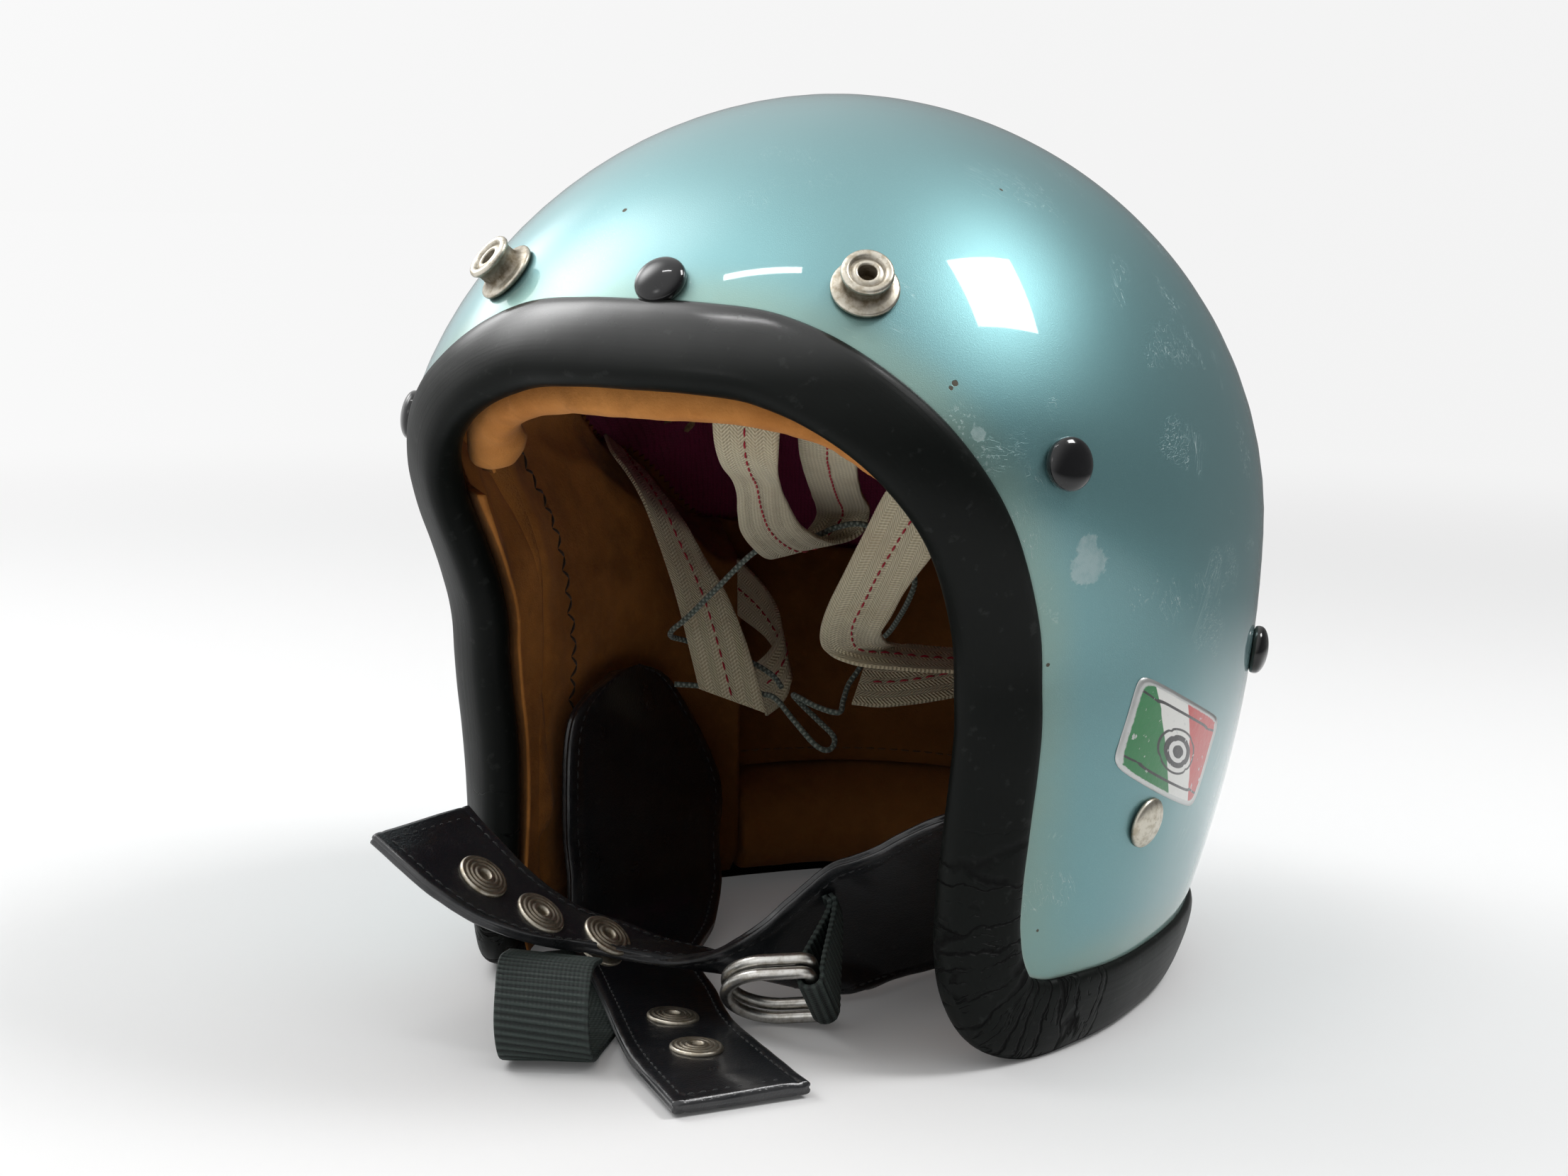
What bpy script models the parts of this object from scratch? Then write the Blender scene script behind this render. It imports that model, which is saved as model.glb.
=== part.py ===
"""An open-face motorcycle helmet: shell, rubber edge, liners, cradle, studs and chin straps."""

import math

import bmesh
import bpy
from mathutils import Matrix, Vector
from mathutils.bvhtree import BVHTree
from mathutils.geometry import intersect_line_plane

MM = 0.001

# Shell. The front of the helmet looks along -Y and the wearer's left is +X.
HALF_WIDTH = 120.0 * MM
FRONT_REACH = 131.6 * MM
BACK_REACH = 139.1 * MM
EQUATOR_HEIGHT = 136.0 * MM
SHELL_HEIGHT = 260.5 * MM
SHELL_WALL = 4.0 * MM
SIDE_TUCK_SHARE = 0.22
FRONT_TUCK_SHARE = 0.11
BACK_TUCK_SHARE = 0.16
CHEEK_TUCK_SHARE = 0.34
# Heights of the cheeks' tuck: where it starts, where it is full, and where it ends in a flare.
CHEEK_SHARES = (0.70, 0.40, 0.307, -0.23)
PLAN_POWER = 2.27
CROWN_POWER = 1.95
POLE_TILT = math.radians(40.0)

# Clearances
SEAT_GAP = 0.4 * MM
RUNNING_GAP = 0.3 * MM
OVERRUN = 12.0 * MM
MERGE_GAP = 0.01 * MM

# Rubber edge
TRIM_LEG = 20.0 * MM
TRIM_WALL = 3.1 * MM
TRIM_LIP = 1.5 * MM
TRIM_NOSE = 3.8 * MM
TRIM_INNER_LEG = 14.0 * MM
TRIM_BEAD = 1.2 * MM
TRIM_SLOT_PLAY = 1.2 * MM
FOOT_DEPTH = 0.5 * MM
RIM_STATIONS = 72

# Liners
RIM_BAND = 21.0 * MM
LINER_DEPTH = 15.0 * MM
CROWN_CLOTH = 1.2 * MM
LINER_SLACK = 1.2 * MM
CLOTH_SLACK = 1.2 * MM
SUEDE_SLACK = 2.5 * MM
LINING_SLACK = 1.7 * MM
BROW_SLACK = 0.5 * MM
SUEDE_WALL = 5.0 * MM
CAVITY_HALF_WIDTH = 79.0 * MM
CAVITY_BACK_REACH = 93.0 * MM
CAVITY_FRONT_REACH = 128.0 * MM
ROLL_WIDTH = 26.0 * MM
ROLL_FRONT = 2.0 * MM
PANEL_GAP = 0.4 * MM
LINING_FOOT = 6.0 * MM
NECK_ROLL_TOP = 40.0 * MM
NECK_ROLL_THICKNESS = 25.6 * MM
REAR_SUEDE_WALL = 5.1 * MM
BROW_DROP = 12.0 * MM
BROW_RISE = 22.0 * MM
BROW_DEPTH = 15.0 * MM

# Studs and rivets
DOME_RADIUS = 7.1 * MM
DOME_HEIGHT = 4.4 * MM
DOME_RIM = 1.2 * MM
STUD_FLANGE_RADIUS = 9.0 * MM
STUD_POST_RADIUS = 6.8 * MM
STUD_WAIST_RADIUS = 5.9 * MM
STUD_RING_RADIUS = 4.4 * MM
STUD_BORE_RADIUS = 2.4 * MM
STUD_HEIGHT = 8.0 * MM
STUD_FLANGE_HEIGHT = 1.6 * MM
STUD_BORE_DEPTH = 6.0 * MM
STUD_RING_SINK = 1.2 * MM
SHANK_RADIUS = 2.3 * MM
CLINCH_RADIUS = 6.0 * MM
CLINCH_HEIGHT = 1.4 * MM
RIVET_RADIUS = 7.2 * MM
RIVET_HEIGHT = 2.6 * MM
FACING_RADIUS = 7.6 * MM
TURN_STEPS = 16

# Chin straps
STRAP_THICKNESS = 3.6 * MM
PIVOT_PLAY = 0.06 * MM
CAP_RADIUS = 7.4 * MM
CAP_HEIGHT = 1.6 * MM
CAP_GROOVE = 0.5 * MM
CAP_HOLE_RADIUS = 1.8 * MM
CAP_SHANK_RADIUS = 2.2 * MM
CAP_BACK_RADIUS = 4.5 * MM
CAP_BACK_HEIGHT = 1.0 * MM
CAP_STEPS = 12
CAP_SEAT = 0.5 * MM

# Closure
WEB_THICKNESS = 1.6 * MM
RING_WIRE_RADIUS = 1.75 * MM
RING_BAR = 27.0 * MM
RING_REACH = 26.0 * MM
RING_PITCH = 4.2 * MM
LOOP_WIDTH = 22.0 * MM
LOOP_ROOT_WIDTH = 9.0 * MM

# Cradle
TAPE_WIDTH = 20.0 * MM
TAPE_THICKNESS = 1.5 * MM
LACE_RADIUS = 0.85 * MM

# Depths under the paint: the rubber edge's inner face, and the backs of the linings.
EDGE_DEPTH = SHELL_WALL + SEAT_GAP + TRIM_WALL + TRIM_BEAD
ROLL_DEPTH = EDGE_DEPTH + LINING_SLACK
LINER_BACK = SHELL_WALL + LINER_SLACK
CLOTH_DEPTH = LINER_DEPTH + CLOTH_SLACK
SUEDE_DEPTH = CLOTH_DEPTH + CROWN_CLOTH + SUEDE_SLACK

HUB = Vector((0.0, 0.0, EQUATOR_HEIGHT))
POLE = Vector((0.0, math.sin(POLE_TILT), math.cos(POLE_TILT)))

# The rim of the shell from the middle of the brow to the nape: degrees round
# from the front, and the share of the shell height above the foot of the rim.
RIM_SHARES = (
    (0.0, 0.711),
    (9.0, 0.710),
    (17.6, 0.702),
    (26.4, 0.670),
    (34.1, 0.618),
    (40.8, 0.545),
    (46.3, 0.449),
    (47.9, 0.370),
    (47.9, 0.306),
    (47.2, 0.236),
    (46.4, 0.175),
    (46.2, 0.120),
    (47.7, 0.068),
    (52.2, 0.023),
    (60.6, 0.0),
    (72.9, 0.0),
    (90.0, 0.0),
    (110.0, 0.0),
    (130.0, 0.0),
    (150.0, 0.0),
    (165.0, 0.0),
    (180.0, 0.0),
)

# Places on the paint: degrees round from the front, share of the shell height.
DOME_SHARES = {
    "dome_rivet_front": (1.5, 0.8055),
    "dome_rivet_front_left": (56.2, 0.639),
    "dome_rivet_front_right": (-56.2, 0.639),
    "dome_rivet_rear_left": (117.7, 0.384),
    "dome_rivet_rear_right": (-117.7, 0.384),
    "dome_rivet_rear": (180.0, 0.250),
}
FACED_SEATS = ("dome_rivet_front_left", "dome_rivet_front_right", "strap_rivet_left", "strap_rivet_right")
VISOR_STUD_SHARES = (30.9, 0.805)
STRAP_RIVET_SHARES = (78.0, 0.2464)

# Where the suede side panels stop at the top: degrees round, share of height.
PINKED_EDGE_SHARES = (
    (38.0, 0.562),
    (48.0, 0.570),
    (54.0, 0.655),
    (72.0, 0.665),
    (90.0, 0.630),
    (110.0, 0.560),
    (130.0, 0.470),
    (155.0, 0.425),
    (180.0, 0.415),
)
SIDE_PANEL_END = 132.0

# How far up each ring lies from the edge band to the crown's pole.
CROWN_SHARES = (0.0, 0.10, 0.21, 0.34, 0.48, 0.63, 0.79)

# Routes of the straps, in shares of half width, front reach and shell height.
EAR_FLAP_FRONT_SHARES = (
    (0.596, -0.061, 0.3225),
    (0.590, -0.190, 0.3033),
    (0.588, -0.258, 0.2687),
)
EAR_FLAP_BACK_SHARES = (
    (0.605, 0.053, 0.3225),
    (0.596, 0.152, 0.3033),
    (0.567, 0.213, 0.2610),
)
RIGHT_FRONT_SHARES = (
    (-0.592, -0.266, 0.1689),
    (-0.583, -0.258, 0.0960),
    (-0.575, -0.266, 0.0449),
    (-0.508, -0.334, 0.0238),
    (-0.367, -0.471, 0.0200),
    (-0.183, -0.669, 0.0192),
    (0.008, -0.866, 0.0154),
    (0.242, -1.054, 0.0111),
)
RIGHT_BACK_SHARES = (
    (-0.500, 0.274, 0.1689),
    (-0.483, 0.251, 0.0921),
    (-0.450, 0.213, 0.0403),
    (-0.358, 0.046, 0.0200),
    (-0.258, -0.190, 0.0138),
    (-0.083, -0.380, 0.0100),
    (0.092, -0.562, 0.0096),
    (0.425, -0.813, 0.0111),
)
LEFT_FRONT_SHARES = (
    (0.558, -0.342, 0.2534),
    (0.500, -0.388, 0.2438),
    (0.417, -0.388, 0.2226),
    (0.360, -0.403, 0.2054),
    (0.295, -0.395, 0.1904),
    (0.217, -0.380, 0.1716),
    (0.127, -0.388, 0.1328),
    (0.068, -0.410, 0.1060),
    (0.022, -0.452, 0.0883),
    (-0.017, -0.509, 0.0791),
    (-0.076, -0.578, 0.0775),
    (-0.134, -0.638, 0.0841),
    (-0.215, -0.729, 0.0998),
    (-0.275, -0.836, 0.1171),
    (-0.356, -0.935, 0.1459),
    (-0.432, -0.984, 0.1743),
    (-0.515, -0.992, 0.1996),
    (-0.610, -0.976, 0.2200),
)
LEFT_BACK_SHARES = (
    (0.517, 0.220, 0.1919),
    (0.458, 0.228, 0.1152),
    (0.367, 0.175, 0.0461),
    (0.275, 0.076, 0.0134),
    (0.233, -0.061, 0.0115),
    (0.208, -0.182, 0.0115),
    (0.142, -0.251, 0.0173),
    (0.067, -0.296, 0.0288),
    (-0.008, -0.338, 0.0422),
    (-0.083, -0.399, 0.0595),
    (-0.146, -0.471, 0.0749),
    (-0.208, -0.543, 0.0960),
    (-0.283, -0.623, 0.1190),
    (-0.342, -0.672, 0.1420),
    (-0.400, -0.699, 0.1670),
    (-0.458, -0.707, 0.1900),
    (-0.517, -0.699, 0.2073),
    (-0.575, -0.684, 0.2226),
)
TAIL_NEAR_SHARES = (
    (-0.642, -0.300, 0.0050),
    (-0.517, -0.448, 0.0050),
    (-0.370, -0.699, 0.0050),
    (-0.290, -0.897, 0.0061),
    (-0.255, -0.984, 0.0138),
    (-0.255, -1.003, 0.0449),
    (-0.275, -0.973, 0.0806),
    (-0.320, -0.900, 0.0998),
    (-0.350, -0.821, 0.0979),
)
TAIL_FAR_SHARES = (
    (-0.500, -0.140, 0.0046),
    (-0.350, -0.330, 0.0046),
    (-0.192, -0.600, 0.0046),
    (-0.108, -0.810, 0.0061),
    (-0.070, -0.900, 0.0138),
    (-0.065, -0.925, 0.0449),
    (-0.085, -0.895, 0.0806),
    (-0.130, -0.813, 0.0940),
    (-0.160, -0.737, 0.0902),
)

# Caps along the straps, and the bars of the rings.
LEFT_CAP_SHARES = (0.75, 0.832, 0.905)
RIGHT_CAP_SHARES = (0.755, 0.86)
RING_BAR_SHARES = (0.252, -0.475, 0.0568)
LOOP_ROOT_SHARES = (0.223, -0.353, 0.1171)
RING_BAR_WAY = (-0.14, 0.72, -0.68)
RING_REACH_WAY = (-0.93, -0.32, -0.10)

# Cradle tapes: the two edges of each, in the same shares.
CRADLE_SHARES = {
    "cradle_tape_right_front": (
        (
            (-0.775, 0.156, 0.5912), (-0.704, 0.084, 0.5758), (-0.625, 0.038, 0.5547),
            (-0.550, 0.000, 0.5248), (-0.475, -0.015, 0.4607), (-0.429, -0.027, 0.4146),
            (-0.396, -0.019, 0.3570), (-0.368, -0.015, 0.3109),
        ),
        (
            (-0.760, 0.293, 0.5451), (-0.671, 0.205, 0.5393), (-0.575, 0.137, 0.5221),
            (-0.475, 0.076, 0.4952), (-0.417, 0.068, 0.4607), (-0.354, 0.061, 0.4276),
            (-0.279, 0.053, 0.3662), (-0.203, 0.038, 0.2848),
        ),
    ),
    "cradle_tape_front": (
        (
            (0.083, -0.669, 0.7639), (0.050, -0.623, 0.6449), (0.000, -0.456, 0.5873),
            (-0.067, -0.334, 0.5489), (-0.120, -0.228, 0.5182), (-0.152, -0.091, 0.4852),
            (-0.146, -0.030, 0.4779), (-0.108, 0.015, 0.4933), (-0.058, 0.015, 0.5259),
            (0.033, -0.167, 0.5643), (0.117, -0.350, 0.6027), (0.200, -0.517, 0.6449),
            (0.283, -0.646, 0.7063), (0.300, -0.653, 0.7562),
        ),
        (
            (0.250, -0.653, 0.7562), (0.208, -0.623, 0.6372), (0.117, -0.456, 0.5912),
            (0.067, -0.334, 0.5605), (0.029, -0.213, 0.5298), (0.017, -0.091, 0.5086),
            (0.033, -0.030, 0.5010), (0.067, 0.015, 0.5106), (0.092, 0.008, 0.5374),
            (0.167, -0.167, 0.5681), (0.258, -0.357, 0.6027), (0.350, -0.517, 0.6372),
            (0.433, -0.600, 0.6910), (0.450, -0.600, 0.7370),
        ),
    ),
    "cradle_tape_left_front": (
        (
            (0.517, -0.532, 0.6449), (0.393, -0.456, 0.5965), (0.300, -0.395, 0.5413),
            (0.223, -0.342, 0.4937), (0.150, -0.289, 0.4491), (0.107, -0.243, 0.4146),
            (0.100, -0.205, 0.3935), (0.142, -0.182, 0.3820), (0.212, -0.152, 0.3762),
            (0.325, -0.076, 0.3708), (0.467, 0.000, 0.3701), (0.642, 0.053, 0.3724),
        ),
        (
            (0.617, -0.418, 0.5950), (0.517, -0.410, 0.5489), (0.450, -0.380, 0.5163),
            (0.367, -0.319, 0.4798), (0.302, -0.258, 0.4472), (0.250, -0.213, 0.4223),
            (0.225, -0.152, 0.4069), (0.208, -0.084, 0.3973), (0.225, -0.023, 0.3916),
            (0.317, 0.061, 0.3839), (0.450, 0.137, 0.3820), (0.625, 0.198, 0.3839),
        ),
    ),
    "cradle_tape_left_rear": (
        (
            (0.602, 0.271, 0.3720), (0.417, 0.213, 0.3417), (0.250, 0.152, 0.3186),
            (0.117, 0.084, 0.3071), (0.033, 0.046, 0.3090),
        ),
        (
            (0.566, 0.356, 0.4215), (0.400, 0.319, 0.3877), (0.233, 0.258, 0.3647),
            (0.100, 0.190, 0.3512), (0.017, 0.144, 0.3493),
        ),
    ),
    "cradle_tape_right_rear": (
        (
            (-0.537, 0.432, 0.4299), (-0.433, 0.380, 0.4069), (-0.350, 0.327, 0.3800),
            (-0.321, 0.289, 0.3570), (-0.342, 0.274, 0.3340), (-0.392, 0.289, 0.3148),
        ),
        (
            (-0.520, 0.413, 0.3608), (-0.392, 0.350, 0.3417), (-0.300, 0.293, 0.3148),
            (-0.267, 0.258, 0.2994), (-0.283, 0.243, 0.2764), (-0.333, 0.251, 0.2572),
        ),
    ),
}

# The lace runs through the tape ends, is knotted below them, and has one bow.
LACE_SHARES = (
    (-0.453, 0.000, 0.3109), (-0.383, 0.034, 0.3090), (-0.300, 0.055, 0.3063), (-0.228, 0.057, 0.3056),
    (-0.182, 0.043, 0.3033), (-0.117, 0.019, 0.2841), (-0.042, 0.004, 0.2591), (-0.013, 0.023, 0.2541),
    (-0.017, 0.049, 0.2656), (-0.075, 0.072, 0.2802), (-0.125, 0.084, 0.2937), (-0.146, 0.068, 0.3071),
    (-0.113, 0.038, 0.3090), (-0.050, 0.027, 0.3013), (0.004, 0.034, 0.2979), (-0.002, 0.065, 0.3090),
    (-0.008, 0.103, 0.3244), (0.001, 0.142, 0.3417), (0.004, 0.190, 0.3628), (0.050, 0.190, 0.3800),
    (0.100, 0.152, 0.4031), (0.158, 0.099, 0.4338), (0.186, 0.068, 0.4607), (0.167, 0.023, 0.4952),
    (0.125, -0.008, 0.5163), (0.083, -0.030, 0.5240), (0.025, -0.038, 0.5179),
    (-0.031, -0.039, 0.5056), (-0.081, -0.038, 0.4967), (-0.138, -0.049, 0.4898),
    (-0.196, -0.053, 0.4810), (-0.300, -0.061, 0.4338), (-0.375, -0.065, 0.3992),
    (-0.421, -0.061, 0.3820), (-0.446, -0.027, 0.3704), (-0.433, 0.019, 0.3628),
    (-0.367, 0.057, 0.3512), (-0.283, 0.091, 0.3378), (-0.225, 0.099, 0.3244), (-0.192, 0.087, 0.3129),
)

# Colour, roughness and metallic value of each finish.
FINISHES = {
    "shell_paint": ((0.28, 0.44, 0.47), 0.25, 0.6),
    "edge_rubber": ((0.025, 0.028, 0.03), 0.45, 0.0),
    "liner_cork": ((0.42, 0.30, 0.18), 0.9, 0.0),
    "crown_cloth": ((0.16, 0.02, 0.06), 0.85, 0.0),
    "suede": ((0.42, 0.20, 0.06), 0.9, 0.0),
    "black_leather": ((0.012, 0.014, 0.017), 0.3, 0.0),
    "black_enamel": ((0.008, 0.008, 0.01), 0.12, 0.0),
    "nickel": ((0.55, 0.52, 0.45), 0.3, 1.0),
    "steel": ((0.6, 0.6, 0.58), 0.25, 1.0),
    "webbing": ((0.03, 0.045, 0.04), 0.8, 0.0),
    "tape": ((0.65, 0.60, 0.46), 0.85, 0.0),
    "lace": ((0.20, 0.24, 0.20), 0.8, 0.0),
}


def start_scene():
    for thing in list(bpy.data.objects):
        bpy.data.objects.remove(thing)
    collections = []
    for name in ("open_face_helmet", "cutters"):
        collection = bpy.data.collections.new(name)
        bpy.context.scene.collection.children.link(collection)
        collections.append(collection)
    return collections


PARTS, CUTTERS = start_scene()


def material(part_name, finish):
    """The part's own material, in one of the finishes."""
    colour, roughness, metallic = FINISHES[finish]
    made = bpy.data.materials.new(part_name + "_" + finish)
    made.use_nodes = True
    shader = made.node_tree.nodes["Principled BSDF"]
    shader.inputs["Base Color"].default_value = (*colour, 1.0)
    shader.inputs["Roughness"].default_value = roughness
    shader.inputs["Metallic"].default_value = metallic
    made.diffuse_color = (*colour, 1.0)
    return made


def new_object(name, verts, faces, finish, collection=None):
    mesh = bpy.data.meshes.new(name)
    mesh.from_pydata([tuple(v) for v in verts], [], faces)
    mesh.materials.append(material(name, finish))
    mesh.shade_smooth()
    thing = bpy.data.objects.new(name, mesh)
    (collection or PARTS).objects.link(thing)
    return thing


# The shell surface


def ramp(value, low, high):
    """From 0 at low to 1 at high, with a soft start and end."""
    t = min(max((value - low) / (high - low), 0.0), 1.0)
    return t * t * (3.0 - 2.0 * t)


def plan_sizes(height, ahead):
    """The shell's half width and reach at a height. It tucks in below, and more at the cheeks."""
    drop = max(EQUATOR_HEIGHT - height, 0.0) / EQUATOR_HEIGHT
    tuck = drop * drop
    side = HALF_WIDTH * (1.0 - SIDE_TUCK_SHARE * tuck)
    if not ahead:
        return side, BACK_REACH * (1.0 - BACK_TUCK_SHARE * tuck)
    share = height / SHELL_HEIGHT
    top, full, low, foot = CHEEK_SHARES
    cheek = CHEEK_TUCK_SHARE * ramp(share, top, full) * ramp(share, foot, low)
    return side, FRONT_REACH * (1.0 - FRONT_TUCK_SHARE * tuck) * (1.0 - cheek)


def shell_value(point):
    """Below zero inside the shell's outer surface, and above zero outside it."""
    side, reach = plan_sizes(point.z, point.y < 0.0)
    plan = (abs(point.x) / side) ** PLAN_POWER + (abs(point.y) / reach) ** PLAN_POWER
    rise = max(point.z - EQUATOR_HEIGHT, 0.0) / (SHELL_HEIGHT - EQUATOR_HEIGHT)
    return plan ** (CROWN_POWER / PLAN_POWER) + rise**CROWN_POWER - 1.0


def shell_point(direction):
    """Where a ray from the hub leaves the shell's outer surface."""
    near, far = 0.0, SHELL_HEIGHT
    for _ in range(36):
        middle = (near + far) / 2.0
        if shell_value(HUB + direction * middle) < 0.0:
            near = middle
        else:
            far = middle
    return HUB + direction * near


def shell_normal(point):
    step = SHELL_WALL / 20.0
    slope = []
    for axis in range(3):
        shift = Vector((0.0, 0.0, 0.0))
        shift[axis] = step
        slope.append(shell_value(point + shift) - shell_value(point - shift))
    return Vector(slope).normalized()


def skin(direction, depth):
    """A point at a depth under the paint, seen along a direction from the hub."""
    base = shell_point(direction)
    return base - shell_normal(base) * depth


def wall_radius(azimuth, height):
    """How far the paint is from the vertical axis."""
    turn = math.radians(azimuth)
    side, reach = plan_sizes(height, math.cos(turn) > 0.0)
    rise = max(height - EQUATOR_HEIGHT, 0.0) / (SHELL_HEIGHT - EQUATOR_HEIGHT)
    left = max(1.0 - rise**CROWN_POWER, 0.0) ** (PLAN_POWER / CROWN_POWER)
    spread = (abs(math.sin(turn)) / side) ** PLAN_POWER + (abs(math.cos(turn)) / reach) ** PLAN_POWER
    return (left / spread) ** (1.0 / PLAN_POWER)


def round_point(azimuth, height, radius):
    turn = math.radians(azimuth)
    return Vector((math.sin(turn) * radius, -math.cos(turn) * radius, height))


def paint_point(shares):
    azimuth, height_share = shares
    height = height_share * SHELL_HEIGHT
    return round_point(azimuth, height, wall_radius(azimuth, height))


def place(shares):
    x_share, y_share, z_share = shares
    return Vector((x_share * HALF_WIDTH, y_share * FRONT_REACH, z_share * SHELL_HEIGHT))


def flipped(shares):
    x_share, y_share, z_share = shares
    return (-x_share, y_share, z_share)


# Curves and grids


def spline(points, share):
    """A smooth curve through the points, where share runs from 0 to 1."""
    spans = len(points) - 1
    place_on = min(max(share, 0.0), 1.0) * spans
    index = min(int(place_on), spans - 1)
    t = place_on - index
    b, c = points[index], points[index + 1]
    a = points[index - 1] if index > 0 else b * 2.0 - c
    d = points[index + 2] if index + 2 <= spans else c * 2.0 - b
    return (
        b * 2.0
        + (c - a) * t
        + (a * 2.0 - b * 5.0 + c * 4.0 - d) * t**2
        + (b * 3.0 - a - c * 3.0 + d) * t**3
    ) * 0.5


def even_points(points, count, fine=400):
    """Points at equal steps along the smooth curve through the given ones."""
    dense = [spline(points, i / fine) for i in range(fine + 1)]
    run = [0.0]
    for i in range(fine):
        run.append(run[-1] + (dense[i + 1] - dense[i]).length)
    found = []
    index = 0
    for k in range(count):
        target = run[-1] * k / (count - 1)
        while index < fine - 1 and run[index + 1] < target:
            index += 1
        step = run[index + 1] - run[index]
        found.append(dense[index].lerp(dense[index + 1], (target - run[index]) / step if step else 0.0))
    return found


def grid_faces(rows, columns, wrap=False, first=0, turned=False):
    faces = []
    for r in range(rows - 1):
        for c in range(columns if wrap else columns - 1):
            d = (c + 1) % columns
            face = (
                first + r * columns + c,
                first + r * columns + d,
                first + (r + 1) * columns + d,
                first + (r + 1) * columns + c,
            )
            faces.append(face[::-1] if turned else face)
    return faces


def slab(name, outer, inner, finish):
    """A closed solid between two grids of points with as many rows and columns."""
    rows, columns = len(outer), len(outer[0])
    verts = [p for row in outer for p in row] + [p for row in inner for p in row]
    half = rows * columns
    faces = grid_faces(rows, columns) + grid_faces(rows, columns, first=half, turned=True)
    edge = [c for c in range(columns)]
    edge += [r * columns + columns - 1 for r in range(1, rows)]
    edge += [(rows - 1) * columns + c for c in range(columns - 2, -1, -1)]
    edge += [r * columns for r in range(rows - 2, 0, -1)]
    for k, here in enumerate(edge):
        after = edge[(k + 1) % len(edge)]
        faces.append((after, here, here + half, after + half))
    thing = new_object(name, verts, faces, finish)
    face_outward(thing)
    return thing


def face_outward(thing):
    mesh = bmesh.new()
    mesh.from_mesh(thing.data)
    bmesh.ops.recalc_face_normals(mesh, faces=mesh.faces)
    mesh.to_mesh(thing.data)
    mesh.free()


def halves(verts, quad):
    """A quad's two triangles, split along the diagonal that stands further from the hub."""
    a, b, c, d = quad
    proud = (verts[a] + verts[c]) / 2.0 - HUB
    sunk = (verts[b] + verts[d]) / 2.0 - HUB
    if proud.length > sunk.length:
        return [(a, b, c), (a, c, d)]
    return [(a, b, d), (b, c, d)]


def sweep(name, sections, finish, closed):
    """A solid through closed loops of points, as a ring or with capped ends."""
    columns = len(sections[0])
    loops = sections + [sections[0]] if closed else sections
    verts = [p for loop in sections for p in loop]
    faces = []
    for r in range(len(loops) - 1):
        after = (r + 1) % len(sections)
        for c in range(columns):
            d = (c + 1) % columns
            faces += halves(verts, (r * columns + c, r * columns + d, after * columns + d, after * columns + c))
    if not closed:
        faces.append(tuple(range(columns))[::-1])
        faces.append(tuple((len(sections) - 1) * columns + c for c in range(columns)))
    thing = new_object(name, verts, faces, finish)
    face_outward(thing)
    return thing


def solidify(thing, thickness, offset):
    shell = thing.modifiers.new("wall", "SOLIDIFY")
    shell.thickness = thickness
    shell.offset = offset
    shell.use_even_offset = True
    return shell


def cut(thing, cutter):
    boolean = thing.modifiers.new("cut " + cutter.name, "BOOLEAN")
    boolean.operation = "DIFFERENCE"
    boolean.solver = "EXACT"
    boolean.object = cutter
    return boolean


def as_cutter(thing):
    for collection in list(thing.users_collection):
        collection.objects.unlink(thing)
    CUTTERS.objects.link(thing)
    thing.hide_render = True
    thing.display_type = "WIRE"
    return thing


def frame_at(origin, z_axis, x_hint=Vector((0.0, 0.0, 1.0))):
    """A placing matrix whose +Z runs along z_axis."""
    z = z_axis.normalized()
    x = (x_hint - z * x_hint.dot(z)).normalized()
    y = z.cross(x)
    return Matrix.Translation(origin) @ Matrix((x, y, z)).transposed().to_4x4()


def pivot(name, origin, axis, carried):
    """An empty on a joint's axis, with +Z along it, that carries the pieces."""
    empty = bpy.data.objects.new(name, None)
    PARTS.objects.link(empty)
    empty.empty_display_type = "SINGLE_ARROW"
    empty.empty_display_size = OVERRUN
    matrix = frame_at(origin, axis)
    empty.matrix_world = matrix
    for thing in carried:
        thing.parent = empty
        thing.matrix_parent_inverse = matrix.inverted()
    return empty


def drill(name, origin, axis, radius, length):
    """A round cutter of a length each way from its origin."""
    mesh = bmesh.new()
    bmesh.ops.create_cone(
        mesh, cap_ends=True, segments=TURN_STEPS, radius1=radius, radius2=radius, depth=length * 2.0
    )
    data = bpy.data.meshes.new(name)
    mesh.to_mesh(data)
    mesh.free()
    thing = bpy.data.objects.new(name, data)
    PARTS.objects.link(thing)
    thing.matrix_world = frame_at(origin, axis)
    return as_cutter(thing)


def turned(name, profile, matrix, finish, steps=TURN_STEPS):
    """A turned piece: the profile's radius and height, down its outer side."""
    mesh = bpy.data.meshes.new(name)
    edges = [(i, i + 1) for i in range(len(profile) - 1)]
    mesh.from_pydata([(r, 0.0, z) for r, z in profile], edges, [])
    mesh.materials.append(material(name, finish))
    thing = bpy.data.objects.new(name, mesh)
    PARTS.objects.link(thing)
    thing.matrix_world = matrix
    screw = thing.modifiers.new("turn", "SCREW")
    screw.steps = steps
    screw.render_steps = steps
    screw.use_merge_vertices = True
    screw.merge_threshold = MERGE_GAP
    screw.use_normal_calculate = True
    screw.use_normal_flip = True
    screw.use_smooth_shade = True
    return thing


def arc(radius, height, count, start=0.0):
    """A dome's outline from its top to its edge, as radius and height."""
    points = []
    for i in range(count + 1):
        turn = math.pi / 2.0 * i / count
        points.append((radius * math.sin(turn), start + height * math.cos(turn)))
    return points


# Shell and rubber edge


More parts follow.
